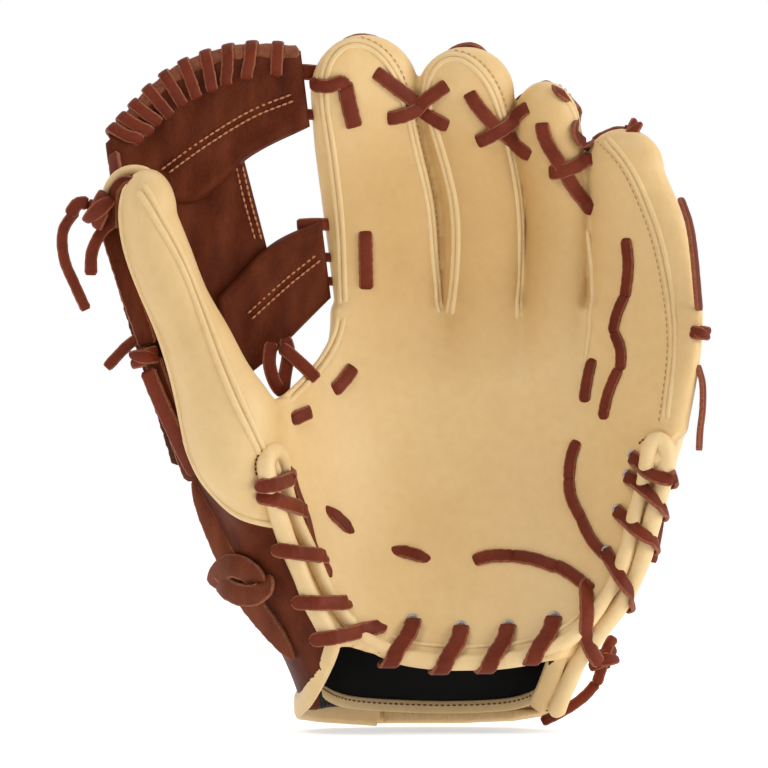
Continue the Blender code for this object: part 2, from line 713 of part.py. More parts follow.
# What hangs from each joint, and a point on the joint's axis.
MOVING = {
    "thumb_fold": (FOLD_HEEL, ("thumb_palm_shell", "thumb_heel_pad", "thumb_back_panel", "thumb_stay",
                               "thumb_stall", "thumb_heel_roll", "thumb_heel_lace", "thumb_tip_knot",
                               "thumb_side_knot", "wrist_knot", "thumb_tip_tail", "thumb_loop",
                               "thumb_back_strip")),
    "web_edge": (WEB_LOW, ("web_top_bar", "web_lower_bar", "web_centre_bar", "web_top_lace")),
    "strap_end": (STRAP_HINGE, ("wrist_strap", "strap_fleece")),
}


def hang_moving_pieces():
    """Gives each moving piece a parent on its joint's axis, and leaves the piece where it is."""
    for name, (spot, pieces) in MOVING.items():
        hinge = bpy.data.objects.new(name, None)
        hinge.location = spot
        COLLECTION.objects.link(hinge)
        for piece in pieces:
            bpy.data.objects[piece].parent = hinge
            bpy.data.objects[piece].matrix_parent_inverse = Matrix.Translation(spot).inverted()


make_palm()
make_back()
make_stalls()
make_web()
make_rolls()
make_laces()
make_knots()
make_finger_loops()
make_thumb_strip()
make_strap()
hang_moving_pieces()
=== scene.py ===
"""The look of the baseball glove: leather, seams, lace, stitching and padding around its CAD frame.

X runs from the thumb to the little finger, Y from the catching face to the back of the hand, Z from the
wrist to the finger tips, in metres. Most pieces are laid out as seen from the front, as (x, z), and find
their depth on the glove's own surface.
"""

import math

import bpy
import numpy as np
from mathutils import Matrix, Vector
from mathutils.bvhtree import BVHTree


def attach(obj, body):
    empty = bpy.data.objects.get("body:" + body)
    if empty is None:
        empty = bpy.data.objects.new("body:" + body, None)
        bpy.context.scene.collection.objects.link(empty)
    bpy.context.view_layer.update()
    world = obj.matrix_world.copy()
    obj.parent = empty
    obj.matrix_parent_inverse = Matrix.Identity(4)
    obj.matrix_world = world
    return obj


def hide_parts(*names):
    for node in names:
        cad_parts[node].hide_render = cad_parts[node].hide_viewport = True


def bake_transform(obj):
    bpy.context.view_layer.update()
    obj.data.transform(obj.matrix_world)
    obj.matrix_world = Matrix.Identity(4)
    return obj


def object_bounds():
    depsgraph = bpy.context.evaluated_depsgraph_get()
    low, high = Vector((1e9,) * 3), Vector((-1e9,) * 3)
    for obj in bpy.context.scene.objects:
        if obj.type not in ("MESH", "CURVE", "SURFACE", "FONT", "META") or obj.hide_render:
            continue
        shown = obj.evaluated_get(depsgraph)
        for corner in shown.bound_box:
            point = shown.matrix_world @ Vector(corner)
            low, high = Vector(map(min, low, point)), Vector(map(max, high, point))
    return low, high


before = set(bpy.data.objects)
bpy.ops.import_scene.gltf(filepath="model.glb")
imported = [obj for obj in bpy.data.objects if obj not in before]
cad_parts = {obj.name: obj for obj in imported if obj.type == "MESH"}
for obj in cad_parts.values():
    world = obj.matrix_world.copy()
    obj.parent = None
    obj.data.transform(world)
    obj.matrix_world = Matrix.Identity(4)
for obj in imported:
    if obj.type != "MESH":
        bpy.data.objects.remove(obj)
CAD_BOX = [list(corner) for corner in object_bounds()]

# --- the catching face, as the CAD has it -------------------------------------------------------------------

POCKET_X = 0.01
POCKET_Z = 0.165
SIDE_SPAN = 0.09
SIDE_POWER = 2.5
THUMB_RISE = 0.06
PINKY_RISE = 0.042
HEEL_RISE = 0.045
HEEL_SPAN = 0.15
FINGER_CURL = 0.022
FINGER_SPAN = 0.125
BOWL_FADE = 0.5
FADE_START = 0.13
FADE_SPAN = 0.1
FOLD_HEEL = (-0.035, -0.06, 0.02)
FOLD_CROTCH = (-0.062, -0.046, 0.14)
WEB_LOW = (-0.049, -0.004, 0.175)
WEB_HIGH = (-0.0605, -0.022, 0.27)
WEB_THUMB_Y = -0.035
WEB_REACH = 0.09
WEB_LEATHER = 0.0028

# The mesher's step, and how wide lace, welts and stitches are.
STEP = 0.0016
LACE_WIDE = 0.0056
LACE_THICK = 0.002
WELT = 0.0013

FRONTWARDS = (0.0, -1.0, 0.0)
# Rays start this far out. A ray from behind that misses takes the surface nearest to this depth.
FAR = 1.0
BACK_Y = 0.03


def ease(value):
    value = np.clip(value, 0.0, 1.0)
    return value * value * (3 - 2 * value)


def front(x, z):
    """How far back the catching face lies at a place seen from the front."""
    out = np.asarray(x, float) - POCKET_X
    rise = np.where(out < 0, THUMB_RISE, PINKY_RISE)
    bowl = rise * (np.abs(out) / SIDE_SPAN) ** SIDE_POWER
    bowl = bowl * (1 - BOWL_FADE * ease((z - FADE_START) / FADE_SPAN))
    heel = HEEL_RISE * (np.maximum(0.0, POCKET_Z - z) / HEEL_SPAN) ** 2
    curl = FINGER_CURL * (np.maximum(0.0, z - POCKET_Z) / FINGER_SPAN) ** 2
    return -(bowl + heel + curl)


def stations(z, table):
    """Smooth values at the heights z through rows of (height, value, ...), one array for each value."""
    z = np.atleast_1d(np.asarray(z, float))
    heights = np.array([row[0] for row in table])
    values = np.array([row[1:] for row in table], float)
    slopes = np.gradient(values, heights, axis=0)
    i = np.clip(np.searchsorted(heights, z) - 1, 0, len(heights) - 2)
    span = (heights[i + 1] - heights[i])[:, None]
    t = np.clip((z - heights[i])[:, None] / span, 0, 1)
    found = ((1 + 2 * t) * (1 - t) ** 2 * values[i] + t * (1 - t) ** 2 * span * slopes[i]
             + t * t * (3 - 2 * t) * values[i + 1] + t * t * (t - 1) * span * slopes[i + 1])
    return found.T


def value_at(z, table):
    return float(stations(z, table)[0][0])


def mm(value):
    """Millimetres to metres, all through lists, tuples and dictionaries."""
    if isinstance(value, dict):
        return {key: mm(part) for key, part in value.items()}
    if isinstance(value, (list, tuple)):
        return type(value)(mm(part) for part in value)
    return value / 1000


def unit(vectors):
    """Vectors brought to length one: a single one, or rows of them."""
    vectors = np.asarray(vectors, float)
    return vectors / (np.linalg.norm(vectors, axis=-1, keepdims=True) + 1e-12)


def calmed(rows, rounds):
    """Rows evened out between their neighbours. The first and the last stay."""
    for _ in range(rounds):
        rows[1:-1] = (rows[:-2] + 2 * rows[1:-1] + rows[2:]) / 4
    return rows


def run_length(path):
    """How far along a path each of its points is."""
    return np.concatenate([[0], np.cumsum(np.linalg.norm(np.diff(path, axis=0), axis=1))])


def smooth_path(points, step):
    """Points about a step apart on a smooth curve through the given ones."""
    knots = np.array(points, float)
    ends = np.vstack([2 * knots[0] - knots[1], knots, 2 * knots[-1] - knots[-2]])
    path = []
    for i in range(1, len(ends) - 2):
        a, b, c, d = ends[i - 1 : i + 3]
        count = max(1, round(float(np.linalg.norm(c - b)) / step))
        for t in np.arange(count) / count:
            path.append(0.5 * (2 * b + (c - a) * t + (2 * a - 5 * b + 4 * c - d) * t**2
                               + (3 * b - a - 3 * c + d) * t**3))
    path.append(knots[-1])
    return np.array(path)


def spaced(path, step):
    """The path again, with its points evenly about a step apart."""
    along = run_length(path)
    even = np.linspace(0, along[-1], max(3, round(along[-1] / step) + 1))
    return np.stack([np.interp(even, along, path[:, k]) for k in range(path.shape[1])], axis=1)


def curve(points, step):
    """An evenly spaced smooth curve through the given points."""
    return spaced(smooth_path(points, step), step)


# --- materials ----------------------------------------------------------------------------------------------

class Nodes:
    """A short way to write a material's node tree."""

    def __init__(self, name):
        self.material = bpy.data.materials.new(name)
        self.material.use_nodes = True
        self.tree = self.material.node_tree
        self.shader = self.tree.nodes["Principled BSDF"]

    def add(self, kind, **settings):
        node = self.tree.nodes.new(kind)
        for key, value in settings.items():
            if key in node.inputs:
                node.inputs[key].default_value = value
            else:
                setattr(node, key, value)
        return node

    def link(self, output, socket):
        self.tree.links.new(output, socket)

    def place(self, scale=(1, 1, 1), location=(0, 0, 0)):
        coordinates = self.add("ShaderNodeTexCoord")
        mapping = self.add("ShaderNodeMapping", Scale=scale, Location=location)
        self.link(coordinates.outputs["Object"], mapping.inputs["Vector"])
        return mapping.outputs["Vector"]

    def noise(self, scale, detail=4.0, roughness=0.55, stretch=(1, 1, 1)):
        node = self.add("ShaderNodeTexNoise", Scale=scale, Detail=detail, Roughness=roughness)
        self.link(self.place(stretch), node.inputs["Vector"])
        return node.outputs["Fac"]

    def cells(self, scale):
        node = self.add("ShaderNodeTexVoronoi", feature="DISTANCE_TO_EDGE", Scale=scale)
        self.link(self.place(), node.inputs["Vector"])
        return node.outputs["Distance"]

    def ramp(self, factor, *stops):
        node = self.add("ShaderNodeValToRGB")
        elements = node.color_ramp.elements
        while len(elements) < len(stops):
            elements.new(0.5)
        for element, (at, color) in zip(elements, stops):
            element.position = at
            element.color = (*color, 1)
        self.link(factor, node.inputs["Fac"])
        return node.outputs["Color"]

    def maths(self, operation, a, b):
        node = self.add("ShaderNodeMath", operation=operation)
        for socket, value in zip(node.inputs, (a, b)):
            if isinstance(value, (int, float)):
                socket.default_value = value
            else:
                self.link(value, socket)
        return node.outputs["Value"]

    def mix(self, factor, a, b, blend="MIX"):
        node = self.add("ShaderNodeMix", data_type="RGBA", blend_type=blend)
        for socket, value in ((node.inputs[0], factor), (node.inputs[6], a), (node.inputs[7], b)):
            if isinstance(value, (int, float)):
                socket.default_value = value
            elif isinstance(value, tuple):
                socket.default_value = (*value, 1)
            else:
                self.link(value, socket)
        return node.outputs[2]

    def bump(self, height, strength, distance):
        node = self.add("ShaderNodeBump", Strength=strength, Distance=distance)
        self.link(height, node.inputs["Height"])
        self.link(node.outputs["Normal"], self.shader.inputs["Normal"])


# Painted shade in the deep pocket: a ball of darker tone, at the object's coordinates times the scale,
# plus the place.
POCKET_SHADE_SCALE = (13.0, 3.0, 13.6)
POCKET_SHADE_PLACE = (-0.14, 0.03, -2.86)
GRAIN_DEPTH = 0.0002


def leather(name, dark, light, roughness, streak=(1, 1, 1), grain=1500, patch=18, shine_level=0.2,
            pocket=None):
    """Oiled leather: soft patches of tone, fine pebble grain, and a little shine that varies.

    pocket darkens it towards the middle of the glove: painted shade, standing in for the shadow in the deep
    pocket.
    """
    n = Nodes(name)
    patches = n.noise(patch, 3, 0.5, streak)
    fine = n.noise(patch * 12, 5, 0.6, streak)
    tone = n.ramp(n.maths("ADD", n.maths("MULTIPLY", patches, 0.65), n.maths("MULTIPLY", fine, 0.35)),
                  (0.34, dark), (0.64, light))
    # Painted shade: inside a ball round the deep pocket the tone is multiplied by the pocket colour.
    if pocket:
        ball = n.add("ShaderNodeTexGradient", gradient_type="SPHERICAL")
        n.link(n.place(POCKET_SHADE_SCALE, POCKET_SHADE_PLACE), ball.inputs["Vector"])
        depth = n.ramp(ball.outputs["Fac"], (0.0, (0, 0, 0)), (0.55, (1, 1, 1)))
        tone = n.mix(depth, tone, n.mix(1.0, tone, pocket, "MULTIPLY"))
    n.link(tone, n.shader.inputs["Base Color"])
    pebble = n.cells(grain)
    shine = n.ramp(fine, (0.3, (roughness - 0.06,) * 3), (0.7, (roughness + 0.08,) * 3))
    n.link(shine, n.shader.inputs["Roughness"])
    n.shader.inputs["Specular IOR Level"].default_value = shine_level
    height = n.maths("ADD", n.maths("MULTIPLY", pebble, 0.6), n.maths("MULTIPLY", n.noise(grain * 0.3), 0.8))
    n.bump(height, 0.35, GRAIN_DEPTH)
    return n.material


def fibre(name, dark, light, scale, depth, roughness=0.95):
    """Cut leather edge, felt, fleece or thread: short fibres and no shine."""
    n = Nodes(name)
    fibres = n.noise(scale, 6, 0.7)
    n.link(n.ramp(fibres, (0.35, dark), (0.68, light)), n.shader.inputs["Base Color"])
    n.shader.inputs["Roughness"].default_value = roughness
    n.shader.inputs["Sheen Weight"].default_value = 0.1
    n.bump(fibres, 0.6, depth)
    return n.material


# The camel of the palm and fingers carries painted shade: it is multiplied darker towards the deep pocket.
CAMEL = leather("camel_leather", (0.65, 0.43, 0.188), (0.725, 0.505, 0.24), 0.42, shine_level=0.25,
                pocket=(0.83, 0.76, 0.64))
CAMEL_LIGHT = leather("camel_leather_light", (0.64, 0.428, 0.192), (0.712, 0.5, 0.24), 0.42, shine_level=0.25)
CAMEL_EDGE = leather("camel_roll", (0.665, 0.46, 0.215), (0.75, 0.545, 0.28), 0.4, shine_level=0.25)
BROWN = leather("brown_leather", (0.06, 0.011, 0.0036), (0.126, 0.027, 0.009), 0.48, streak=(3, 3, 1.2),
                patch=34, shine_level=0.06)
BROWN_DARK = leather("gusset_leather", (0.04, 0.009, 0.004), (0.085, 0.02, 0.008), 0.5, patch=34,
                     shine_level=0.08)
LACE = leather("lace_leather", (0.098, 0.015, 0.006), (0.168, 0.029, 0.011), 0.5, patch=60, grain=2200,
               shine_level=0.12)
RAW_EDGE = fibre("lace_raw_edge", (0.15, 0.036, 0.012), (0.33, 0.095, 0.034), 900, 0.0004)
LINING = leather("black_lining", (0.004, 0.004, 0.004), (0.011, 0.01, 0.01), 0.62)
THREAD = fibre("tan_thread", (0.42, 0.13, 0.04), (0.64, 0.26, 0.1), 1600, 0.0002, 0.7)
DARK_THREAD = fibre("brown_thread", (0.11, 0.028, 0.012), (0.2, 0.06, 0.028), 1600, 0.0002, 0.7)
FELT = fibre("wool_felt", (0.42, 0.39, 0.34), (0.66, 0.62, 0.55), 500, 0.0006)
FLEECE = fibre("strap_fleece_wool", (0.56, 0.385, 0.185), (0.72, 0.53, 0.29), 900, 0.0004)
SEAM_THREAD = fibre("camel_thread", (0.42, 0.235, 0.09), (0.56, 0.34, 0.15), 1600, 0.0002, 0.7)
SUEDE = fibre("suede_roll", (0.12, 0.03, 0.01), (0.26, 0.074, 0.026), 420, 0.0005)
BROWN_LIGHT = leather("brown_leather_light", (0.105, 0.022, 0.008), (0.185, 0.045, 0.017), 0.44,
                      streak=(3, 3, 1.2), patch=34, shine_level=0.12)


def eyelet_metal():
    n = Nodes("eyelet_metal")
    tone = n.ramp(n.noise(240, 3), (0.35, (0.28, 0.29, 0.31)), (0.7, (0.46, 0.47, 0.5)))
    n.link(tone, n.shader.inputs["Base Color"])
    n.shader.inputs["Metallic"].default_value = 0.7
    n.shader.inputs["Roughness"].default_value = 0.45
    return n.material


def stay_plastic():
    n = Nodes("stay_plastic")
    tone = n.ramp(n.noise(60), (0.3, (0.72, 0.71, 0.67)), (0.7, (0.84, 0.83, 0.8)))
    n.link(tone, n.shader.inputs["Base Color"])
    n.shader.inputs["Roughness"].default_value = 0.45
    n.bump(n.noise(700), 0.2, 0.0002)
    return n.material


PLASTIC = stay_plastic()
EYELET = eyelet_metal()


# --- meshes -------------------------------------------------------------------------------------------------

COLLECTION = bpy.data.collections.new("glove_look")
bpy.context.scene.collection.children.link(COLLECTION)


def make_object(name, points, faces, *materials, indices=None):
    mesh = bpy.data.meshes.new(name)
    mesh.from_pydata([tuple(map(float, p)) for p in points], [], [tuple(map(int, f)) for f in faces])
    for material in materials:
        mesh.materials.append(material)
    if indices is not None:
        mesh.polygons.foreach_set("material_index", np.asarray(indices, np.int32))
    mesh.shade_smooth()
    mesh.update()
    obj = bpy.data.objects.new(name, mesh)
    COLLECTION.objects.link(obj)
    return obj


class Batch:
    """Faces gathered from several shapes into one piece."""

    def __init__(self):
        self.points, self.faces, self.slots, self.count = [], [], [], 0

    def add(self, points, faces, slots=None):
        self.points.append(np.asarray(points, float))
        self.faces += [tuple(i + self.count for i in face) for face in faces]
        self.slots += list(slots) if slots is not None else [0] * len(faces)
        self.count += len(points)

    def build(self, name, *materials):
        return make_object(name, np.concatenate(self.points), self.faces, *materials, indices=self.slots)


def frames_along(path, facing):
    """At each point of a path: the normal of its flat side, and the way across it."""
    run = unit(np.gradient(path, axis=0))
    facing = np.asarray(facing, float)
    flat = unit(facing - run * np.sum(run * facing, axis=1)[:, None])
    return flat, np.cross(run, flat)


def ring_faces(rings, count):
    """The quads between rings of points in a row, and a cap on each end."""
    faces = []
    for i in range(rings - 1):
        for k in range(count):
            j = (k + 1) % count
            faces.append((i * count + k, i * count + j, (i + 1) * count + j, (i + 1) * count + k))
    last = (rings - 1) * count
    return faces + [tuple(range(count))[::-1], tuple(range(last, last + count))]


def strip(path, facing, wide, thick, corners=(0.3, 0.55)):
    """A flat strip along a path: a rectangle with soft corners. Its side faces are slot 1, raw leather."""
    flat, across = frames_along(path, facing)
    half = np.ones(len(path)) * np.asarray(wide) / 2
    half[[0, -1]] *= 0.75
    t = thick / 2
    soft, drop = corners
    inset = t * soft * 2
    section = ((-1, 0, -t * drop), (-1, 0, t * drop), (-1, inset, t), (0, 0, t * 1.15), (1, -inset, t),
               (1, 0, t * drop), (1, 0, -t * drop), (1, -inset, -t), (0, 0, -t), (-1, inset, -t))
    raw_sides = (0, 1, 4, 5, 6, 9)
    points = np.concatenate([[path[i] + (a * half[i] + c) * across[i] + b * flat[i] for a, c, b in section]
                             for i in range(len(path))])
    slots = [int(k in raw_sides) for k in range(len(section))] * (len(path) - 1) + [1, 1]
    return points, ring_faces(len(path), len(section)), slots


def rod(path, radius, sides=10, squash=1.0, facing=FRONTWARDS):
    """A round rod along a path, with rounded ends. radius may be a number or one for each point."""
    path = np.asarray(path, float)
    radii = np.ones(len(path)) * radius
    radii[[0, -1]] *= 0.5
    flat, across = frames_along(path, facing)
    turns = 2 * np.pi * np.arange(sides) / sides
    points = np.concatenate([path[i] + radii[i] * (np.cos(turns)[:, None] * across[i]
                                                   + squash * np.sin(turns)[:, None] * flat[i])
                             for i in range(len(path))])
    return points, ring_faces(len(path), sides)


# --- the glove's body ---------------------------------------------------------------------------------------

# Each finger seen from the front: (height, left edge, right edge, half its depth). Neighbours overlap a
# little, so that they meet in a crease.
FINGERS = mm({
    "index": ([(120, -48, -0.5, 15), (166, -48, -0.5, 16), (190, -50.5, -0.8, 16), (217, -54, -1, 16),
        (245, -57.5, -7, 15), (266, -59, -11, 14)], 291.5),
    "middle": ([(120, -2, 34.5, 15), (166, -2, 34.5, 16), (190, -2.2, 36, 16), (217, -3.2, 36, 15.5),
        (245, -9.2, 31.5, 14.5), (266, -12.2, 30.8, 13.5)], 286.5),
    "ring": ([(120, 33, 62, 15), (166, 33, 62, 15.5), (190, 34.5, 64, 15.5), (217, 34.5, 64.5, 15),
        (238, 30.5, 61.8, 14), (252, 29.7, 59, 13.5)], 271.5),
    "pinky": ([(120, 60.5, 104, 14), (160, 60.5, 110, 15.5), (190, 62.5, 109, 15.5),
        (212, 62.5, 104.5, 14.5), (232, 60.5, 96.5, 13.5)], 250.5),
})
# The thumb has a depth of its own: (height, left edge, right edge, half its depth).
THUMB = mm([
    (50, -85, -72, 7), (62, -87, -72, 11), (84, -96, -74.5, 19), (100, -108, -74, 22.5),
    (118, -113.5, -72.5, 23.5), (131, -116, -74.5, 23.5), (147, -120, -85.5, 22.5), (162, -125, -93.5, 21),
    (179, -132.5, -103.2, 19.5), (197, -139, -110.2, 18), (212, -141.2, -116.2, 16.5),
])
THUMB_TIP = 0.231
THUMB_Y = -0.064
THUMB_SINK = 0.026
# The hand's part of the glove: how far it reaches to the thumb's side and to the little finger's side.
BODY_LEFT = mm([
    (-6, -62), (9, -67), (24, -74), (47, -91), (63, -99), (79, -105), (95, -110), (110, -108), (124, -90),
    (132, -73), (142, -60.5), (154, -52), (175, -47),
])
BODY_RIGHT = mm([
    (-6, 51), (14, 57), (31, 68), (43, 77), (60, 85), (84, 94), (105, 102), (130, 108), (157, 110),
    (175, 109),
])
BODY_BACK = mm([(-6, 34), (30, 39), (70, 42), (130, 40), (165, 31), (180, 26)])
BULGE_LEFT = mm([(-6, -14), (60, -22), (104, -27), (132, -33), (165, -6)])
BULGE_RIGHT = mm([(-6, -10), (60, -14), (110, -18), (165, -24)])
FRONT_DEPTH = 0.052
HEEL_FRONT = 0.015
HEEL_BACK = -0.005
HEEL_CURVE = 3.4
WALL = 0.0075
RECESS = 0.006


def heel_height(x, y):
    """Where the leather ends at the wrist: higher in front, at the heel, than behind."""
    out = x - POCKET_X
    edge = HEEL_FRONT + HEEL_CURVE * out ** 2 * (out < 0) + 2.0 * out ** 2 * (out > 0)
    edge = np.minimum(edge, 0.024 + 1.3 * np.minimum(0.0, x + 0.046))
    return edge + (HEEL_BACK - edge) * ease((y + 0.036) / 0.018)


def smooth_min(a, b, k):
    """The smaller of two fields, with the crease between them rounded."""
    h = np.clip(0.5 + 0.5 * (b - a) / k, 0, 1)
    return b + (a - b) * h - k * h * (1 - h)


def smooth_max(a, b, k):
    """The greater of two fields, with the edge between them rounded."""
    return -smooth_min(-a, -b, k)


def finger_field(x, y, z, table, tip, middle_y):
    left, right, deep = (v.reshape(1, 1, -1) for v in stations(z.ravel(), table))
    shoulder = table[-1][0]
    rise = np.maximum(0, z - shoulder) / (tip - shoulder)
    half = (right - left) / 2
    u = np.abs(x - (left + right) / 2) / half
    v = np.abs(y - middle_y) / deep
    round_off = (u**2.15 + v**2.15) ** (1 / 1.075)
    return (np.sqrt(round_off + rise**2) - 1) * np.minimum(half, deep)


def body_field():
    """Two fields over the glove, one negative inside its leather and one negative inside the hand's room."""
    low, high = np.array([-0.15, -0.098, -0.01]), np.array([0.12, 0.052, 0.298])
    axes = [np.arange(a, b, STEP) for a, b in zip(low, high)]
    x, y, z = axes[0].reshape(-1, 1, 1), axes[1].reshape(1, -1, 1), axes[2].reshape(1, 1, -1)
    face = front(x, z)
    left, right, back, bulge_left, bulge_right = (
        stations(axes[2], table)[0].reshape(1, 1, -1)
        for table in (BODY_LEFT, BODY_RIGHT, BODY_BACK, BULGE_LEFT, BULGE_RIGHT))
    side = ease((x - left) / (right - left))
    bulge = bulge_left + (bulge_right - bulge_left) * side
    half_x = np.where(x < 0, -left, right)
    half_y = np.where(y > bulge, back - bulge, FRONT_DEPTH)
    hull = ((np.abs(x) / half_x) ** 2.4 + (np.abs(y - bulge) / half_y) ** 2.4) ** (1 / 2.4)
    hull = (hull - 1) * np.minimum(half_x, half_y) * 0.9
    slope = 1 + 0.9 * ease((np.abs(x - POCKET_X) - 0.03) / 0.07)
    recess = RECESS * ease((z - 0.132) / 0.034)
    palm = smooth_max(hull, (face + recess - y) / slope, 0.004)
    palm = np.maximum(palm, z - 0.17)
    room = np.maximum(hull + WALL, (face + WALL * 1.4 - y) / slope)
    room = np.maximum(room, z - 0.15)
    fingers = None
    for table, tip in FINGERS.values():
        _, _, deep = (v.reshape(1, 1, -1) for v in stations(axes[2], table))
        one = finger_field(x, y, z, table, tip, face + deep)
        fingers = one if fingers is None else np.minimum(fingers, one)
    fingers = np.maximum(fingers, 0.118 - z)
    middle = THUMB_Y + THUMB_SINK * ease((0.098 - z) / 0.042)
    thumb = np.maximum(finger_field(x, y, z, THUMB, THUMB_TIP, middle), THUMB[0][0] - z)
    solid = smooth_min(palm, fingers, 0.006)
    solid = smooth_min(solid, thumb, 0.01)
    edge = heel_height(x, y) - z
    solid = np.maximum(solid, edge)
    solid = np.maximum(solid, -room)
    return solid, room, low




def surface_net(field, low):
    """The zero surface of a field as points and quads: a point in each cell that it crosses."""
    inside = field < 0
    cells = np.zeros(tuple(n - 1 for n in field.shape), np.int8)
    corners = [(i, j, k) for i in (0, 1) for j in (0, 1) for k in (0, 1)]
    shape = cells.shape
    for i, j, k in corners:
        cells += inside[i : i + shape[0], j : j + shape[1], k : k + shape[2]]
    crossed = np.argwhere((cells > 0) & (cells < 8))
    number = np.full(shape, -1, np.int64)
    number[tuple(crossed.T)] = np.arange(len(crossed))
    values = {c: field[tuple((crossed + c).T)] for c in corners}
    total, count = np.zeros((len(crossed), 3)), np.zeros(len(crossed))
    for a in corners:
        for axis in range(3):
            if a[axis]:
                continue
            b = tuple(v + (axis == n) for n, v in enumerate(a))
            cut = (values[a] < 0) != (values[b] < 0)
            share = np.where(cut, values[a] / np.where(cut, values[a] - values[b], 1), 0)
            spot = np.tile(np.array(a, float), (len(crossed), 1))
            spot[:, axis] += share
            total += spot * cut[:, None]
            count += cut
    points = low + STEP * (crossed + total / count[:, None])
    quads = []
    for axis in range(3):
        first, second = (axis + 1) % 3, (axis + 2) % 3
        ahead = np.roll(inside, -1, axis)
        flips = np.argwhere(inside != ahead)
        flips = flips[flips[:, axis] < field.shape[axis] - 1]
        flips = flips[(flips[:, first] > 0) & (flips[:, second] > 0)]
        flips = flips[(flips[:, first] < shape[first]) & (flips[:, second] < shape[second])]
        ring = []
        for da, db in ((0, 0), (1, 0), (1, 1), (0, 1)):
            cell = flips.copy()
            cell[:, first] -= da
            cell[:, second] -= db
            ring.append(number[tuple(cell.T)])
        quad = np.stack(ring, axis=1)
        outward = inside[tuple(flips.T)]
        quads.append(np.where(outward[:, None], quad, quad[:, ::-1]))
    quads = np.concatenate(quads)
    return points, quads[(quads >= 0).all(axis=1)]


def relax(points, quads, rounds):
    """Smooths a mesh: points move to their neighbours' middle, then partly back, so it doesn't shrink."""
    a = quads.ravel()
    b = np.roll(quads, -1, axis=1).ravel()
    count = np.bincount(a, minlength=len(points)) + np.bincount(b, minlength=len(points))
    for turn in range(rounds * 2):
        total = np.zeros_like(points)
        for k in range(3):
            total[:, k] = (np.bincount(a, points[b, k], len(points))
                           + np.bincount(b, points[a, k], len(points)))
        middle = total / np.maximum(count, 1)[:, None]
        points = points + (middle - points) * (0.5 if turn % 2 == 0 else -0.52)
    return points


solid_field, room_field, corner = body_field()
POINTS, QUADS = surface_net(solid_field, corner)
spots = np.round((POINTS[QUADS].mean(axis=1) - corner) / STEP).astype(int)
spots = np.clip(spots, 0, np.array(room_field.shape) - 1)
IN_ROOM = np.abs(room_field[tuple(spots.T)]) < STEP * 1.1
POINTS = relax(POINTS, QUADS, 6)
del solid_field, room_field, spots
SURFACE = BVHTree.FromPolygons([Vector(p) for p in POINTS], [tuple(map(int, q)) for q in QUADS])


def cast(tree, x, z, direction=(0, 1, 0), otherwise=None):
    """Where a tree's surface first shows at (x, z) along a direction, and the way it faces there.

    Where nothing shows, it is the surface nearest to the catching face, or to the depth given as otherwise.
    """
    aim = Vector(direction)
    spot, normal, _, _ = tree.ray_cast(Vector((x, 0, z)) - aim * FAR, aim)
    if spot is None:
        y = float(front(x, z)) if otherwise is None else otherwise
        spot, normal, _, _ = tree.find_nearest(Vector((x, y, z)))
    return np.array(spot), np.array(normal)


def on_face(x, z, lift=0.0):
    """The glove's surface as the front view shows it at (x, z), raised by lift, and the way it faces."""
    spot, normal = cast(SURFACE, x, z)
    return spot + normal * lift, normal


def on_back(x, z, lift=0.0):
    """The same from behind."""
    spot, normal = cast(SURFACE, x, z, (0, -1, 0), BACK_Y)
    return spot + normal * lift, normal


def along_surface(points, step, lift=0.0, view=on_face, calm=2):
    """A smooth line through (x, z) points on the glove, with the surface's normals, evened out."""
    found = [view(x, z, lift) for x, z in curve(points, step)]
    path, normals = (calmed(np.array([f[k] for f in found]), calm) for k in (0, 1))
    for i, spot in enumerate(path):
        near, normal, _, _ = SURFACE.find_nearest(Vector(spot))
        path[i] = np.array(near) + np.array(normal) * lift
    return calmed(path, 1), normals


# --- how pieces ride ----------------------------------------------------------------------------------------


def bend(obj):
    """Bakes the piece's transform into its mesh."""
    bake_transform(obj)
    return obj


def finish(obj, body=None, replaces=()):
    """Gives a piece its body, or bakes its transform if none is named, and hides the CAD nodes it stands for.
    """
    if body:
        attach(obj, body)
    else:
        bend(obj)
    if replaces:
        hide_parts(*replaces)
    return obj


# The camel panel of the thumb ends at a piped edge, below which the wrist panel is brown: (x, height).
PANEL_EDGE = mm([
    (-114, 122), (-112, 112), (-106, 98.5), (-98.5, 88.5), (-88.5, 81), (-76, 77.5), (-69, 76.8),
])
# Below the knuckles the stalls are one with the palm and the back.
KNUCKLES_Z = 0.166
# Where the palm ends beside the thumb's rolls, (height, x). The brown wrist panel lies beyond it.
PALM_BORDER = ((0.0, -0.038), (0.02, -0.043), (0.0265, -0.049), (0.043, -0.0568), (0.061, -0.064),
               (0.08, -0.0712), (0.095, -0.0755), (0.1045, -0.0775), (0.13, -0.081))


def sort_faces():
    """Which sub-part each face of the body belongs to."""
    middles = POINTS[QUADS].mean(axis=1)
    x, y, z = middles.T
    part = np.full(len(middles), "palm", dtype=object)
    ridge = front(x, z) + 0.02
    part[y > ridge] = "back"
    knuckles = z > KNUCKLES_Z
    edges = {name: stations(z, table) for name, (table, _) in FINGERS.items()}
    for name, (left, right, _) in edges.items():
        part[knuckles & (x > left - 0.0015) & (x <= right + 0.0015)] = name
    part[(part == "palm") & knuckles & (x < -0.01)] = "index"
    edge_z = np.interp(x, [p[0] for p in PANEL_EDGE], [p[1] for p in PANEL_EDGE])
    heights, border = np.array(PALM_BORDER).T
    side_left = x < np.interp(z, heights, border)
    heel, crotch = FOLD_HEEL, FOLD_CROTCH
    fold = heel[0] + (crotch[0] - heel[0]) * (z - heel[2]) / (crotch[2] - heel[2])
    thumb_side = (part != "palm") & (x < fold) | side_left
    part[thumb_side & (z < KNUCKLES_Z)] = "thumb_wrist"
    edge_z = edge_z + (0.124 - edge_z) * ease((y + 0.052) / 0.034)
    above = (z > edge_z) & (x < -0.07)
    part[above | thumb_side & (z > 0.124)] = "thumb"
    part[IN_ROOM & (z < 0.158)] = "lining"
    return part


PARTS = sort_faces()
BORDER_ROUNDS = 14


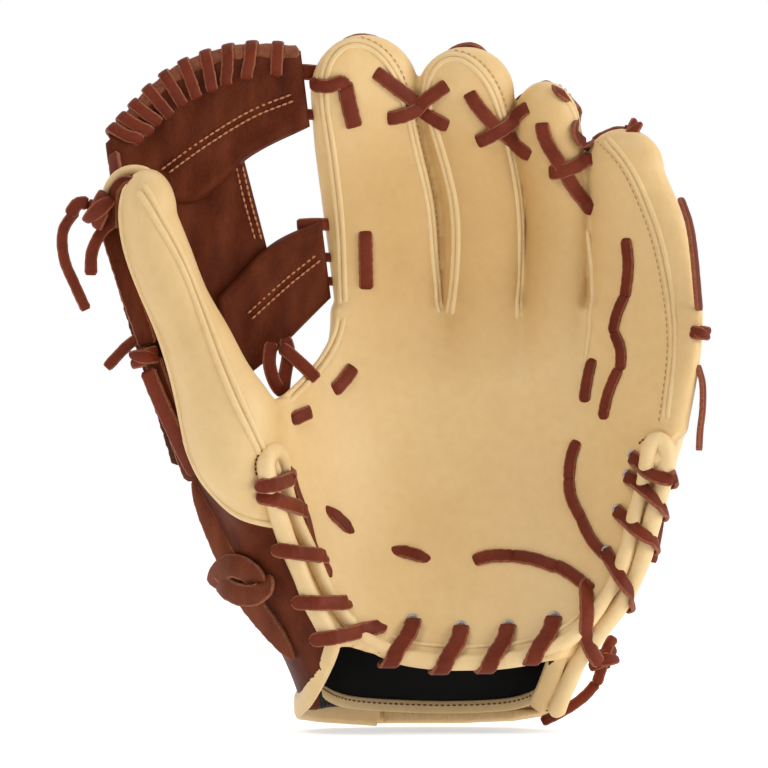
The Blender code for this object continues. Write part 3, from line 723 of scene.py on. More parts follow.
def even_border(part):
    """Draw one sub-part's stepped outline out to an even line."""
    ends = np.sort(np.concatenate([QUADS[:, [k, (k + 1) % 4]] for k in range(4)]), axis=1)
    edges, place = np.unique(ends, axis=0, return_inverse=True)
    inside = np.bincount(place.ravel(), weights=np.tile(PARTS == part, 4))
    border = edges[(inside == 1) & (np.bincount(place.ravel()) == 2)]
    free = np.bincount(border.ravel(), minlength=len(POINTS)) == 2
    for _ in range(BORDER_ROUNDS):
        total = np.zeros_like(POINTS)
        np.add.at(total, border[:, 0], POINTS[border[:, 1]])
        np.add.at(total, border[:, 1], POINTS[border[:, 0]])
        POINTS[free] += 0.5 * (total[free] / 2 - POINTS[free])


even_border("thumb_wrist")


def skin(part, name, material, body=None, replaces=()):
    """One sub-part's share of the body's surface, as a piece of its own."""
    quads = QUADS[PARTS == part]
    used, again = np.unique(quads, return_inverse=True)
    obj = make_object(name, POINTS[used], again.reshape(-1, 4), material)
    return finish(obj, body, replaces)


def make_body():
    skin("palm", "palm_skin", CAMEL, None, ("palm_shell", "thumb_palm_shell"))
    skin("back", "back_skin", CAMEL, None, ("back_panel",))
    skin("thumb_wrist", "thumb_wrist_skin", BROWN, None, ("thumb_back_panel",))
    skin("thumb", "thumb_skin", CAMEL_LIGHT, None, ("thumb_stall",))
    skin("lining", "lining_skin", LINING, None, ("palm_liner", "back_liner"))
    for name in FINGERS:
        skin(name, f"{name}_skin", CAMEL, "palm", (f"{name}_stall",))


# --- the camera, the stage and the light --------------------------------------------------------------------

VIEW_X = -0.0267
VIEW_Z = 0.138
VIEW_WIDE = 0.3356
VIEW_FROM = 3.0
SENSOR = 36.0


# Each light: its name, place, size and power.
LIGHTS = (("key", (-0.8, -1.2, 1.6), 0.8, 12.4), ("fill", (1.6, -0.5, 0.5), 1.0, 16.5),
          ("top", (0.1, 0.3, 1.8), 1.2, 7.0))


def make_stage():
    camera_data = bpy.data.cameras.new("camera")
    camera_data.lens = SENSOR * (VIEW_FROM - 0.03) / VIEW_WIDE
    camera_data.sensor_width = SENSOR
    camera = bpy.data.objects.new("camera", camera_data)
    camera.location = (VIEW_X, -VIEW_FROM, VIEW_Z)
    camera.rotation_euler = (math.radians(90), 0, 0)
    bpy.context.scene.collection.objects.link(camera)
    bpy.context.scene.camera = camera
    n = Nodes("studio_floor")
    n.shader.inputs["Base Color"].default_value = (0.75, 0.75, 0.75, 1)
    n.shader.inputs["Roughness"].default_value = 0.9
    n.shader.inputs["Specular IOR Level"].default_value = 0.0
    n.shader.inputs["Emission Color"].default_value = (1, 1, 1, 1)
    n.shader.inputs["Emission Strength"].default_value = 0.6
    floor_z = CAD_BOX[0][2] - 0.001
    floor = make_object("floor", [(-6, -6, floor_z), (6, -6, floor_z), (6, 6, floor_z), (-6, 6, floor_z)],
                        [(0, 1, 2, 3)], n.material)
    for name, spot, size, power in LIGHTS:
        light = bpy.data.lights.new(name, "AREA")
        light.size = size
        light.energy = power
        lamp = bpy.data.objects.new(name, light)
        lamp.location = spot
        aim = Vector((VIEW_X, 0, VIEW_Z)) - Vector(spot)
        lamp.rotation_euler = aim.to_track_quat("-Z", "Y").to_euler()
        bpy.context.scene.collection.objects.link(lamp)
    make_sky()
    bpy.context.scene.view_settings.view_transform = "Standard"


def make_sky():
    """A studio with a bright wall behind the glove and a softer one in front of it."""
    world = bpy.data.worlds.new("studio")
    world.use_nodes = True
    tree = world.node_tree
    place = tree.nodes.new("ShaderNodeTexCoord")
    parts = tree.nodes.new("ShaderNodeSeparateXYZ")
    ramp = tree.nodes.new("ShaderNodeMapRange")
    for key, value in (("From Min", -0.5), ("From Max", 0.7), ("To Min", 0.28), ("To Max", 1.0)):
        ramp.inputs[key].default_value = value
    tree.links.new(place.outputs["Generated"], parts.inputs["Vector"])
    tree.links.new(parts.outputs["Y"], ramp.inputs["Value"])
    tree.links.new(ramp.outputs["Result"], tree.nodes["Background"].inputs["Strength"])
    tree.nodes["Background"].inputs["Color"].default_value = (1, 1, 1, 1)
    bpy.context.scene.world = world


# --- rolled edges -------------------------------------------------------------------------------------------

def lumpy(path, radius, amount=0.05, pace=130.0):
    """Radii that swell and shrink a little along a path, as stuffed leather does."""
    along = run_length(path)
    waves = np.sin(along * pace + radius * 900) + 0.6 * np.sin(along * pace * 2.3)
    return radius * (1 + amount * waves)


# The rolled edges as seen from the front, (x, height), each pair side by side.
THUMB_ROLL = mm([
    (-79.5, 102), (-77.5, 93), (-73.5, 80), (-70, 70.5), (-64, 55.5), (-59.2, 43.4), (-53, 32.5),
    (-49.8, 26),
])
THUMB_ROLL_IN = mm([
    (-72.2, 102), (-70.2, 93), (-66, 78.6), (-60.8, 67.8), (-56.3, 56.9), (-51.1, 46.1), (-46, 37.2),
    (-40, 32),
])
# Those on the little finger's side stand out past the palm's edge, so they are in 3-D: the outer one runs on
# down to the strap, the inner one into the heel's edge.
PINKY_ROLL = mm([
    (96.8, -41.8, 106.5), (95.2, -41.4, 96.5), (92.4, -40.8, 86.5), (89.4, -40.2, 76), (86.4, -40, 64),
    (82.4, -40, 53.5), (76.2, -39.6, 42), (66.7, -38, 29.5), (58.7, -33.8, 18), (53.9, -30.2, 7.8),
    (50.2, -26.6, -1), (48, -24, -7.2),
])
PINKY_ROLL_IN = mm([
    (88.2, -41.8, 106.5), (86.2, -41.2, 95.5), (83.2, -40.8, 85), (80.8, -41, 74.5), (78.6, -41.5, 65.5),
    (75, -42.5, 55), (68.5, -43.8, 43.5), (61.2, -44.2, 33),
])
FLAP_IN = mm([
    (62, -35, 33.5), (57.5, -32.2, 25.5), (53, -28.5, 19.5), (49, -25.5, 12.5), (44.8, -22, 3.5),
    (41.2, -19, -4.5),
])
HEEL_LINE = mm([
    (-44, 32.5), (-36.2, 28), (-25.4, 21.8), (-12, 18.2), (8, 16.8), (28, 18), (42, 21), (53, 26.2),
    (61.2, 33.5), (65, 38.5),
])
KNOB_SEAM = mm({
    "thumb": [(-81.2, 97.5), (-82.4, 103.2), (-80.8, 108.3), (-77, 111.2)],
    "pinky": [(83.8, 111), (88, 115.2), (93.5, 116.5), (98.5, 114.5)],
})
ROLL = 0.004
ROLL_IN = 0.0032
ROLL_STEP = 0.0025
KNOB_HEIGHT = 0.0072


def roll_path(points, lift):
    return along_surface(points, ROLL_STEP, lift, calm=6)


def free_roll(points, facing):
    path = curve(points, ROLL_STEP)
    return path, np.tile(unit(facing), (len(path), 1))


ROLLS = {"thumb": roll_path(THUMB_ROLL, 0.0022), "thumb_in": roll_path(THUMB_ROLL_IN, 0.0014),
         "pinky": free_roll(PINKY_ROLL, (0.45, -0.9, 0.0)),
         "pinky_in": free_roll(PINKY_ROLL_IN, (0.2, -1.0, 0.0))}
HEEL_PATH, _ = along_surface([(x, z + 0.001) for x, z in HEEL_LINE], ROLL_STEP, 0.0, calm=6)
HEEL_PATH = HEEL_PATH + (0, 0.0016, -0.001)


def make_knob(batch, key):
    """The top of a pair of rolls: the outer one turns over into the inner one, round a curl and a core."""
    (outer, facing), (inner, _) = ROLLS[key], ROLLS[f"{key}_in"]
    middle, across = (outer[0] + inner[0]) / 2, (outer[0] - inner[0]) / 2
    up = np.array([0.0, 0.0, KNOB_HEIGHT])
    arc = [middle + across * math.cos(t) + up * math.sin(t) for t in np.linspace(0.2, math.pi - 0.2, 12)]
    arc = smooth_path(np.array([outer[4], outer[1], *arc, inner[1], inner[4]]) + facing[0] * 0.0002, 0.0012)
    batch.add(*rod(arc, np.linspace(ROLL + 0.0002, ROLL_IN + 0.0003, len(arc)), 18))
    curl = np.array([middle + across * 0.3 * math.cos(t)
                     + np.array([0, -0.0014, 0.0028 + 0.0016 * math.sin(t)])
                     for t in np.linspace(-0.6, 4.2, 16)])
    batch.add(*rod(curl, np.linspace(0.0017, 0.0009, 16), 12))
    core = np.array([middle - up * 0.9, middle - up * 0.2, middle + up * 0.62]) + (0, 0.0006, 0)
    batch.add(*rod(core, np.array([0.0026, 0.0036, 0.0036]), 14))


def make_rolls():
    for name in ("thumb", "pinky"):
        batch = Batch()
        for key, radius in ((name, ROLL), (f"{name}_in", ROLL_IN)):
            path, _ = ROLLS[key]
            batch.add(*rod(path, lumpy(path, radius, 0.04), 18))
        if name == "pinky":
            path = curve(FLAP_IN, 0.002)
            batch.add(*rod(path, lumpy(path, 0.003, 0.03), 16))
        finish(batch.build(f"{name}_roll_leather", CAMEL_EDGE), None, (f"{name}_heel_roll",))
    batch = Batch()
    path = spaced(HEEL_PATH, 0.0022)
    batch.add(*rod(path, lumpy(path, 0.0038, 0.03), 18))
    seam, _ = along_surface([(x, z + 0.0068) for x, z in HEEL_LINE[2:-1]], 0.0022, 0.0, calm=6)
    batch.add(*rod(dive(seam, np.array(FRONTWARDS), 0.002), 0.001, 8))
    finish(batch.build("heel_roll_leather", CAMEL_EDGE), None, ("centre_heel_roll",))
    knobs, stitched = Batch(), Batch()
    for key in ("thumb", "pinky"):
        make_knob(knobs, key)
        path, normals = along_surface(KNOB_SEAM[key], 0.0016, 0.0003, calm=3)
        stitches(stitched, path, normals, 0.0021, 0.0016, 0.0004)
    finish(knobs.build("roll_knobs", CAMEL_EDGE))
    finish(stitched.build("knob_stitching", LACE))


# --- lace ---------------------------------------------------------------------------------------------------

def surface_tree(*pieces):
    """The glove's surface and some pieces on it, so that lace can lie over them all."""
    points, faces, start = [POINTS], [tuple(map(int, q)) for q in QUADS], len(POINTS)
    for piece in pieces:
        mesh = piece.data
        points.append(np.array([v.co for v in mesh.vertices]))
        faces += [tuple(start + i for i in p.vertices) for p in mesh.polygons]
        start += len(mesh.vertices)
    return BVHTree.FromPolygons([Vector(p) for p in np.concatenate(points)], faces)


def drape(tree, points, step, lift, direction=(0, 1, 0), calm=5):
    """A line through (x, z) or (x, z, extra lift) points, laid over what a tree holds and calmed a little."""
    rows = curve(np.array([tuple(p) + (0.0,) * (3 - len(p)) for p in points]), step)
    path, normals = [], []
    for x, z, extra in rows:
        spot, normal = cast(tree, x, z, direction)
        normal = np.array((Vector(normal) - Vector(direction) * 0.35).normalized())
        path.append(spot + normal * (lift + extra))
        normals.append(normal)
    return calmed(np.array(path), calm), calmed(np.array(normals), calm)


def from_ends(path, over):
    """How far each point of a path is from its nearer end, as a share of a distance."""
    along = run_length(path)
    return np.minimum(along, along[-1] - along) / over


def dive(path, normals, depth, over=0.0035):
    """The path with its two ends going down into the leather."""
    return path - normals * (depth * (1 - ease(from_ends(path, over))))[:, None]


def leaf(path, wide, over=0.004, least=0.45):
    """A lace's width along its path: it narrows where it enters its holes."""
    return wide * (least + (1 - least) * np.sqrt(np.clip(from_ends(path, over), 0, 1)))


def ragged(widths, amount=0.05):
    """Cut lace isn't quite even."""
    ticks = np.arange(len(widths))
    return widths * (1 + amount * np.sin(ticks * 1.7) * np.sin(ticks * 0.53 + 1))


def lay(batch, tree, points, wide=LACE_WIDE, depth=0.0032, calm=5, over=0.0035, direction=(0, 1, 0)):
    """One length of lace on the leather, with both its ends going in."""
    path, normals = drape(tree, points, 0.0011, 0.0007, direction, calm)
    path = dive(path, normals, depth, over)
    batch.add(*strip(path, normals, ragged(leaf(path, wide, over)), LACE_THICK))


def slanting(batch, tree, hole, heights, rolls=("pinky_in", "pinky"), facing=(0.35, -0.94, 0.0),
             angles=(35, 70, 105, 140), wide=0.0062, least=0.6):
    """A lace from a hole in the palm across two rolls that lie side by side and round the outer one.

    heights are where it crosses the inner roll, the outer one and the outer one's side. With a facing it goes
    round behind the outer roll. With None it faces square to the rolls and ends in the leather beside them.
    """
    spot, normal = cast(tree, *hole)
    inner, outer, edge = (at_height(rolls[k], z) for k, z in zip((0, 1, 1), heights))
    beside_rolls = facing is None
    if beside_rolls:
        side = unit((outer - inner) * (1, 1, 0))
        ahead = np.array([-side[1], side[0], 0.0])
    else:
        ahead = np.array(facing)
        side = np.array([-ahead[1], ahead[0], 0.0])
    reach, reach_in = ROLL + LACE_THICK / 2, ROLL_IN + LACE_THICK / 2
    steps = [(spot - normal * 0.003, normal), (spot + normal * 0.0008, normal)]
    if beside_rolls:
        turn = ahead * 0.64 - side * 0.77
        steps.append((inner + turn * reach_in, turn))
    steps += [(inner + ahead * reach_in, ahead), (outer + ahead * reach, ahead)]
    for k, angle in enumerate(np.radians(angles)):
        away = math.cos(angle) * ahead + math.sin(angle) * side
        steps.append((edge + (0.0, 0.0, 0.001 - 0.0012 * k) + away * reach, away))
    if beside_rolls:
        steps.append((edge + side * 0.0064 - ahead * 0.0012, ahead))
        steps.append((edge + side * 0.008 - ahead * 0.0042, ahead))
    path = smooth_path([spot for spot, _ in steps], 0.0011)
    if beside_rolls:
        path[:, 2] = np.linspace(hole[1], heights[2], len(path))
    share = np.linspace(0, len(steps) - 1, len(path))
    facings = np.array([facing for _, facing in steps])
    normals = np.stack([np.interp(share, np.arange(len(steps)), facings[:, k]) for k in range(3)], axis=1)
    batch.add(*strip(path, normals, ragged(leaf(path, wide, 0.003, least), 0.04), LACE_THICK))


def lace_piece(batch, name, replaces=(), body=None):
    return finish(batch.build(name, LACE, RAW_EDGE), body, replaces)


# Lace across the fingers: the under one, then the over one, as (x, height, extra lift).
CROSSINGS = mm({
    "index_middle": ([(-31.5, 275.5), (-24, 270, 0.3), (-13, 261.5, 1.2), (-5, 255), (2.6, 250.8)],
        [(-26.2, 254.5), (-19, 256, 1.2), (-11, 260.5, 3), (-4, 266), (2, 270)]),
    "middle_ring": ([(10, 267), (14, 260.5, 0.3), (22.5, 251, 1.2), (31, 244), (38.5, 237.5)],
        [(13.2, 244), (20, 247.5, 1.2), (27, 252.5, 3), (33, 257), (37.5, 260.5)]),
    "ring_pinky": ([(42.5, 254), (44, 246, 0.3), (50, 236, 1.2), (57, 224), (65.5, 213.5)], [(45, 231),
        (51, 231.5, 1.4), (58, 234.5, 2.8), (65.5, 237.5)]),
})
# Single lengths on the palm and at its edges.
PALM_SEGMENTS = mm([((-53, 84.5), (-46.5, 79), (-39.5, 72)), ((-24.5, 65.5), (-16, 64), (-5.5, 60.5))])
CROTCH_SEGMENTS = mm([
    ((-35, 206), (-34.8, 193), (-34.5, 179)), ((-39.8, 146.2), (-44, 140), (-49.2, 134.5)), ((-58, 126.2),
    (-62.5, 124.5), (-67.2, 122.2)),
])
# The laces that tie the index finger to the web.
INDEX_TIE_DOWN = mm([(-44, 270.5), (-42.5, 262), (-39.5, 250)])
INDEX_TIE_OVER = mm([(-62, 271.5, 0), (-56, 269, 1.2), (-50, 268.5, 1.2), (-45, 271, 0.6), (-43, 266, 0)])
# The laces that cross on the backs of the fingers: (x, low end, high end).
BACK_CROSSINGS = mm([(-13.5, 230, 256), (28.5, 225, 254), (61.8, 208, 238)])
# The laces woven along the palm: the lengths that show, (x, height). Each starts beside the last one's end.
PALM_CHAIN = mm([
    ((11.8, 60.2), (20, 62.5), (31.2, 62.5)), ((28, 62.8), (39, 61.2), (50.5, 57.2)), ((47.2, 59.4),
    (56, 54.5), (64.5, 47.5)),
])
PINKY_CHAIN = mm([
    ((58.5, 114), (55.5, 105), (54.5, 94.5)), ((54.5, 98), (55.5, 88), (60.6, 77.6)), ((59, 80.8),
    (64, 70), (71, 62.2)),
])
UPPER_CHAIN = mm([
    ((79.5, 203), (80.8, 190), (79.2, 174.5)), ((80.2, 178.5), (76, 169), (73.8, 158.8)), ((73.8, 162.2),
    (77.5, 153), (77, 142.8)), ((77.2, 146.2), (72, 134), (69.2, 121.5)), ((65.5, 150), (63, 140),
    (61.2, 129)),
])


def make_laces(tree):
    for name, lengths in CROSSINGS.items():
        batch = Batch()
        for points in lengths:
            lay(batch, tree, points, 0.0064, calm=14)
        lace_piece(batch, f"{name}_crossed_lace", (f"{name}_lace",), "palm")
    batch = Batch()
    for segment in PALM_SEGMENTS:
        lay(batch, tree, segment, 0.0056, 0.002, over=0.007)
    for segment in PALM_CHAIN:
        lay(batch, tree, segment, 0.0058, 0.0026, over=0.0032)
    edge, across = at_height("pinky", 0.024), at_height("pinky_in", 0.036)
    hole, normal = cast(tree, 0.0618, 0.05)
    ribbon(batch, [hole - normal * 0.002, hole + normal * 0.001, across + (-0.0012, -ROLL_IN - 0.001, 0.003),
                   edge + (-0.002, -ROLL - 0.0012, 0.0035), edge + (0.001, -ROLL * 0.9, -0.004),
                   edge + (0.004, -0.0005, -0.0085)], 0.0064, facing=(0.25, -0.95, 0.1))
    lace_piece(batch, "palm_row_lace", ("palm_lace",))
    batch = Batch()
    for segment in PINKY_CHAIN + UPPER_CHAIN:
        lay(batch, tree, segment, 0.0052, 0.0026, over=0.0036)
    lace_piece(batch, "pinky_row_lace", ("pinky_palm_lace",), "palm")
    batch = Batch()
    for segment in CROTCH_SEGMENTS:
        lay(batch, tree, segment, 0.0062, 0.0026, over=0.003)
    lace_piece(batch, "crotch_row_lace", ("crotch_lace",))
    batch = Batch()
    lay(batch, tree, INDEX_TIE_DOWN, 0.0072, over=0.0025)
    lay(batch, tree, INDEX_TIE_OVER, 0.0062, calm=6)
    lace_piece(batch, "index_web_lace", (), "palm")
    batch = Batch()
    path, normals = drape(tree, TIP_LACE, 0.0012, 0.001, FRONTWARDS, 6)
    batch.add(*strip(path, normals, ragged(np.ones(len(path)) * LACE_WIDE), LACE_THICK))
    for x, low, high in BACK_CROSSINGS:
        for lean in (-0.0075, 0.0075):
            middle = (x, (low + high) / 2, 0.001 + 0.0016 * (lean > 0))
            lay(batch, tree, [(x - lean, low), middle, (x + lean, high)], calm=12, direction=FRONTWARDS)
    lace_piece(batch, "finger_back_laces", (), "palm")


def at_height(name, z):
    """The middle of a roll at a height."""
    path, _ = ROLLS[name]
    i = int(np.argmin(np.abs(path[:, 2] - z)))
    return path[min(max(i, 1), len(path) - 2)]


# The lace round the heel's rolls: the hole in the palm, then the heights on the inner roll, the outer one
# and its side.
THUMB_WRAPS = mm([
    ((-67.2, 99), (97, 94.5, 93.8)), ((-61.2, 82.2), (86, 88.2, 89.6)), ((-52.8, 62.6),
    (63.4, 64.5, 66.4)), ((-43.2, 43.2), (42.7, 42, 43.6)), ((-28.5, 33), (31, 27, 27.2)),
])
THUMB_LINK = mm([(-68, 103), (-64.8, 90.8), (-60.6, 80), (-57.2, 66.4), (-52.6, 59.6), (-49.5, 54)])
PINKY_WRAPS = mm([
    ((82.2, 106), (99.5, 97.5, 96.5)), ((80, 97.5), (91.5, 85.5, 82)), ((75.5, 82.5), (75.5, 70, 66.5)),
    ((70.5, 64.5), (54, 46, 42)),
])
PINKY_LINK = mm([(94.5, -30, 84), (93, -29.5, 73), (90.5, -29.5, 60)])
HEEL_WRAPS = (-0.0175, 0.0035, 0.024, 0.044)


def eyelet(batch, spot, radius):
    """A metal ring round a lace's hole."""
    turns = np.linspace(0, 2 * math.pi, 17)
    ring = np.stack([radius * np.cos(turns), 0 * turns, radius * np.sin(turns) + 0.0006], axis=1)
    batch.add(*rod(spot + ring, 0.0006, 8))


def heel_wrap(batch, top, normal, centre):
    """A lace from its hole in the palm over the heel's roll and down behind it."""
    path = [top - normal * 0.003, top + normal * 0.001,
            top * 0.5 + (centre + (0.0015, -0.0048, 0.003)) * 0.5 + normal * 0.0006]
    for angle in np.radians(np.linspace(-30, 150, 12)):
        path.append(centre + (-0.0012 - 0.002 * (angle + 0.5), 0, 0)
                    + 0.0046 * np.array([0, -math.cos(angle), -math.sin(angle)]))
    path = spaced(smooth_path(path, 0.0012), 0.0011)
    normals = np.cross(np.gradient(path, axis=0), (1.0, 0, 0))
    normals *= np.sign(np.sum(normals * (path - (centre + (0, 0.004, 0.004))), axis=1))[:, None]
    batch.add(*strip(path, normals, ragged(leaf(path, 0.0072, 0.003, 0.6), 0.07), LACE_THICK))


def make_wraps(tree):
    batch = Batch()
    for hole, heights in THUMB_WRAPS:
        slanting(batch, tree, hole, heights, ("thumb_in", "thumb"), None, (25, 50), 0.0066, 0.45)
    path, normals = along_surface(THUMB_LINK, 0.0012, 0.0009, calm=6)
    batch.add(*strip(dive(path, normals, 0.002), normals, 0.0032, 0.0018))
    lace_piece(batch, "thumb_roll_lace", ("thumb_heel_lace",))
    batch = Batch()
    for hole, heights in PINKY_WRAPS:
        slanting(batch, tree, hole, heights)
    batch.add(*strip(curve(PINKY_LINK, 0.0014), (0.6, -0.8, 0.0), 0.0045, 0.0018))
    lace_piece(batch, "pinky_roll_lace", ("pinky_heel_lace",), "palm")
    batch, eyelets = Batch(), Batch()
    for x in HEEL_WRAPS:
        centre = HEEL_PATH[int(np.argmin(np.abs(HEEL_PATH[:, 0] - x + 0.002)))]
        top, normal = cast(tree, x + 0.0035, centre[2] + 0.0145)
        heel_wrap(batch, top, normal, centre)
        eyelet(eyelets, top, 0.0022)
    for hole, _ in PINKY_WRAPS:
        eyelet(eyelets, cast(tree, *hole)[0], 0.002)
    finish(eyelets.build("lace_eyelets", EYELET))
    lace_piece(batch, "heel_roll_lace", ("centre_heel_lace",))




# --- welts and stitching ------------------------------------------------------------------------------------

# The piped seams round the brown panel on the back, (x, height).
BACK_SEAM = mm([(-29.4, 1), (-35, 20), (-41.7, 50), (-48.5, 80), (-55.2, 110), (-59.2, 127.5), (-61, 136)])
THUMB_SEAM = mm([(-59, 124.5), (-68, 124), (-80, 124), (-92, 124), (-104, 124)])
# The lace over the finger tips, seen from the front: (x, height, extra lift), laid on from behind.
TIP_LACE = mm([
    (-56, 264), (-47, 283), (-38, 289.3), (-26, 285), (-14.5, 262, 1), (-6, 274), (6, 284.8), (16, 283.5),
    (29, 260, 1), (36, 264), (47, 270), (55, 266), (62.2, 243, 1), (70, 246.5), (79, 249), (87, 242),
])
# The piped seams that run up the fingers, (x, height).
WELTS = mm({
    "index_welt": [(-45, 170), (-45.2, 185), (-46.2, 208), (-49.5, 238), (-53, 262), (-52.5, 276),
        (-47, 285), (-39.5, 288.2), (-30.5, 285), (-22.5, 276), (-16.5, 260), (-12.5, 243), (-6.4, 217),
        (-4, 190), (-0.8, 164)],
    "middle_welt": [(1.4, 164), (4.2, 184), (5, 206), (3, 223), (-3.5, 247), (-8.5, 264), (-6, 276),
        (1.5, 282.5), (11, 280), (21, 268), (27.8, 247), (32.5, 223), (34, 200), (33, 162)],
    "ring_welt": [(47, 269), (54, 264), (59, 252), (61.2, 238)],
    "ring_crease_welt": [(62.5, 211), (65, 185), (64, 164), (61, 143)],
    "pinky_welt": [(69, 247.5), (79, 236), (87, 220), (94, 200), (98.5, 175), (99.5, 155), (97.5, 136),
        (95, 118)],
})
CROTCH_WELT = mm([(-45, 172), (-46.8, 160), (-52, 150), (-60, 140), (-70, 130)])
THUMB_WELT = mm([
    (-136, 229), (-129, 219), (-121.5, 206), (-113, 190), (-105, 170), (-97.5, 150), (-89, 130),
    (-81.5, 114), (-77, 103),
])
BACK_WELTS = mm({
    "index_back": [(-44, 284), (-49, 262), (-46, 230), (-42, 190), (-38, 150)],
    "index_back_in": [(-28, 284), (-22, 262), (-15, 230), (-11, 190), (-9, 150)],
    "middle_back": [(-1, 280), (-3, 258), (4, 225), (6, 190), (4, 150)],
    "middle_back_in": [(12, 280), (21, 258), (26, 225), (26, 190), (25, 150)],
    "ring_back": [(40, 266), (37.5, 245), (41, 215), (41, 185), (38, 150)],
    "ring_back_in": [(50, 266), (54, 245), (57, 215), (56, 185), (53, 150)],
    "pinky_back": [(69, 247), (70, 228), (72, 200), (72, 175), (69, 145)],
    "pinky_back_in": [(80, 243), (87, 226), (96, 200), (99, 175), (98, 145)],
})


def beside(path, normals, distance):
    """A path moved sideways on the surface that it lies on."""
    return path + unit(np.cross(np.gradient(path, axis=0), normals)) * distance


def welt(batch, points, view=on_face, gap=0.0019, radius=WELT, pair=True):
    """Two soft cords side by side under the leather, or one, half sunk in its surface."""
    path, normals = along_surface(points, 0.0022, 0.0, view, calm=8)
    for side in (-1, 1) if pair else (0,):
        line = beside(path, normals, side * gap * 0.62) - normals * radius * 0.25
        batch.add(*rod(dive(line, normals, radius * 2.5, 0.008), lumpy(line, radius, 0.03), 10))


def stitches(batch, path, normals, pitch=0.0026, length=0.0018, radius=0.00032):
    """A row of single stitches along a path. normals is one for each point, or one for all."""
    along = run_length(path)
    rows = np.hstack([path, np.broadcast_to(normals, path.shape)])
    for spot in np.arange(pitch, along[-1] - pitch, pitch):
        start, middle, end = (np.array([np.interp(at, along, rows[:, k]) for k in range(6)])
                              for at in (spot - length / 2, spot, spot + length / 2))
        normal = middle[3:]
        bow = [start[:3] - normal * radius, middle[:3] + normal * radius * 0.6, end[:3] - normal * radius]
        batch.add(*rod(bow, radius, 6))


def make_welts():
    batch = Batch()
    for name, points in WELTS.items():
        welt(batch, points, pair=name != "ring_crease_welt")
    finish(batch.build("finger_welts", CAMEL_EDGE), "palm")
    batch = Batch()
    welt(batch, CROTCH_WELT, gap=0.0022)
    welt(batch, THUMB_WELT, gap=0.0026, radius=0.0015)
    finish(batch.build("thumb_welts", CAMEL_EDGE))
    batch = Batch()
    rim = np.array([np.array(SURFACE.ray_cast(Vector((-FAR, -0.07, z)), Vector((1, 0, 0)))[0])
                    for z in np.linspace(0.108, 0.224, 50)])
    batch.add(*rod(calmed(rim, 10), 0.0014, 12))
    welt(batch, PANEL_EDGE, radius=0.0017, pair=False)
    finish(batch.build("thumb_piping", CAMEL_EDGE))
    batch = Batch()
    for points in BACK_WELTS.values():
        welt(batch, points, on_back, pair=False, radius=0.0015)
    finish(batch.build("back_welts", CAMEL_EDGE), "palm")
    batch = Batch()
    for points in (BACK_SEAM, THUMB_SEAM):
        welt(batch, points, on_back, pair=False, radius=0.0019)
    finish(batch.build("thumb_back_seams", CAMEL_EDGE))
    batch = Batch()
    for points, side in ((WELTS["index_welt"][7:], -1), (WELTS["middle_welt"][7:], -1),
                         (WELTS["ring_welt"], -1), (WELTS["pinky_welt"], 1)):
        path, normals = along_surface(points, 0.002, 0.0002, calm=8)
        stitches(batch, beside(path, normals, side * 0.0032), normals, 0.003, 0.0019, 0.00024)
    finish(batch.build("finger_stitching", SEAM_THREAD), "palm")


# --- the web ------------------------------------------------------------------------------------------------

# The web's bars as (share of the way to the thumb, height) along each edge, as in the CAD.
TOP_BAR_LOW = [(0.0, 0.251), (0.3, 0.238), (0.62, 0.217), (1.0, 0.234)]
TOP_BAR_HIGH = [(0.0, 0.284), (0.3, 0.284), (0.62, 0.274), (1.0, 0.243)]
LOWER_BAR_LOW = [(0.0, 0.176), (0.4, 0.145), (0.55, 0.136)]
LOWER_BAR_HIGH = [(0.0, 0.21), (0.25, 0.2), (0.55, 0.176)]
CENTRE_BAR_LOW = [(0.29, 0.16), (0.72, 0.158)]
CENTRE_BAR_HIGH = [(0.29, 0.246), (0.72, 0.236)]
# Its doubled seams, (x, height), and the centre bar's.
WEB_SEAMS = mm([[(-65.5, 264), (-85, 256), (-106, 243), (-125, 229)],
                [(-54.5, 194.5), (-70, 182), (-87, 166.5)]])
CENTRE_SEAM = mm([(-90.5, 235), (-86.8, 219), (-81.5, 200)])
SEAMS_APART = 0.003
# A bar's mesh, how thick it is between its rolled edges, and how much its leather waves.
BAR_COLUMNS = 70
BAR_ROWS = 26
BAR_THIN = 0.0014
BAR_SWAY = 0.0006
OVER_WEB_REACH = 0.0042


def web_line(z):
    share = (z - WEB_LOW[2]) / (WEB_HIGH[2] - WEB_LOW[2])
    return WEB_LOW[0] + (WEB_HIGH[0] - WEB_LOW[0]) * share, WEB_LOW[1] + (WEB_HIGH[1] - WEB_LOW[1]) * share


def on_web(share, z, depth=0.0):
    x, y = web_line(z)
    x = x - 0.001 - share * WEB_REACH
    return np.array([x, y + (WEB_THUMB_Y - y) * share + depth, z])


def web_at(x, z, depth=0.0):
    """The web's sheet at a place seen from the front."""
    share = (web_line(z)[0] - 0.001 - x) / WEB_REACH
    return on_web(share, z, depth)


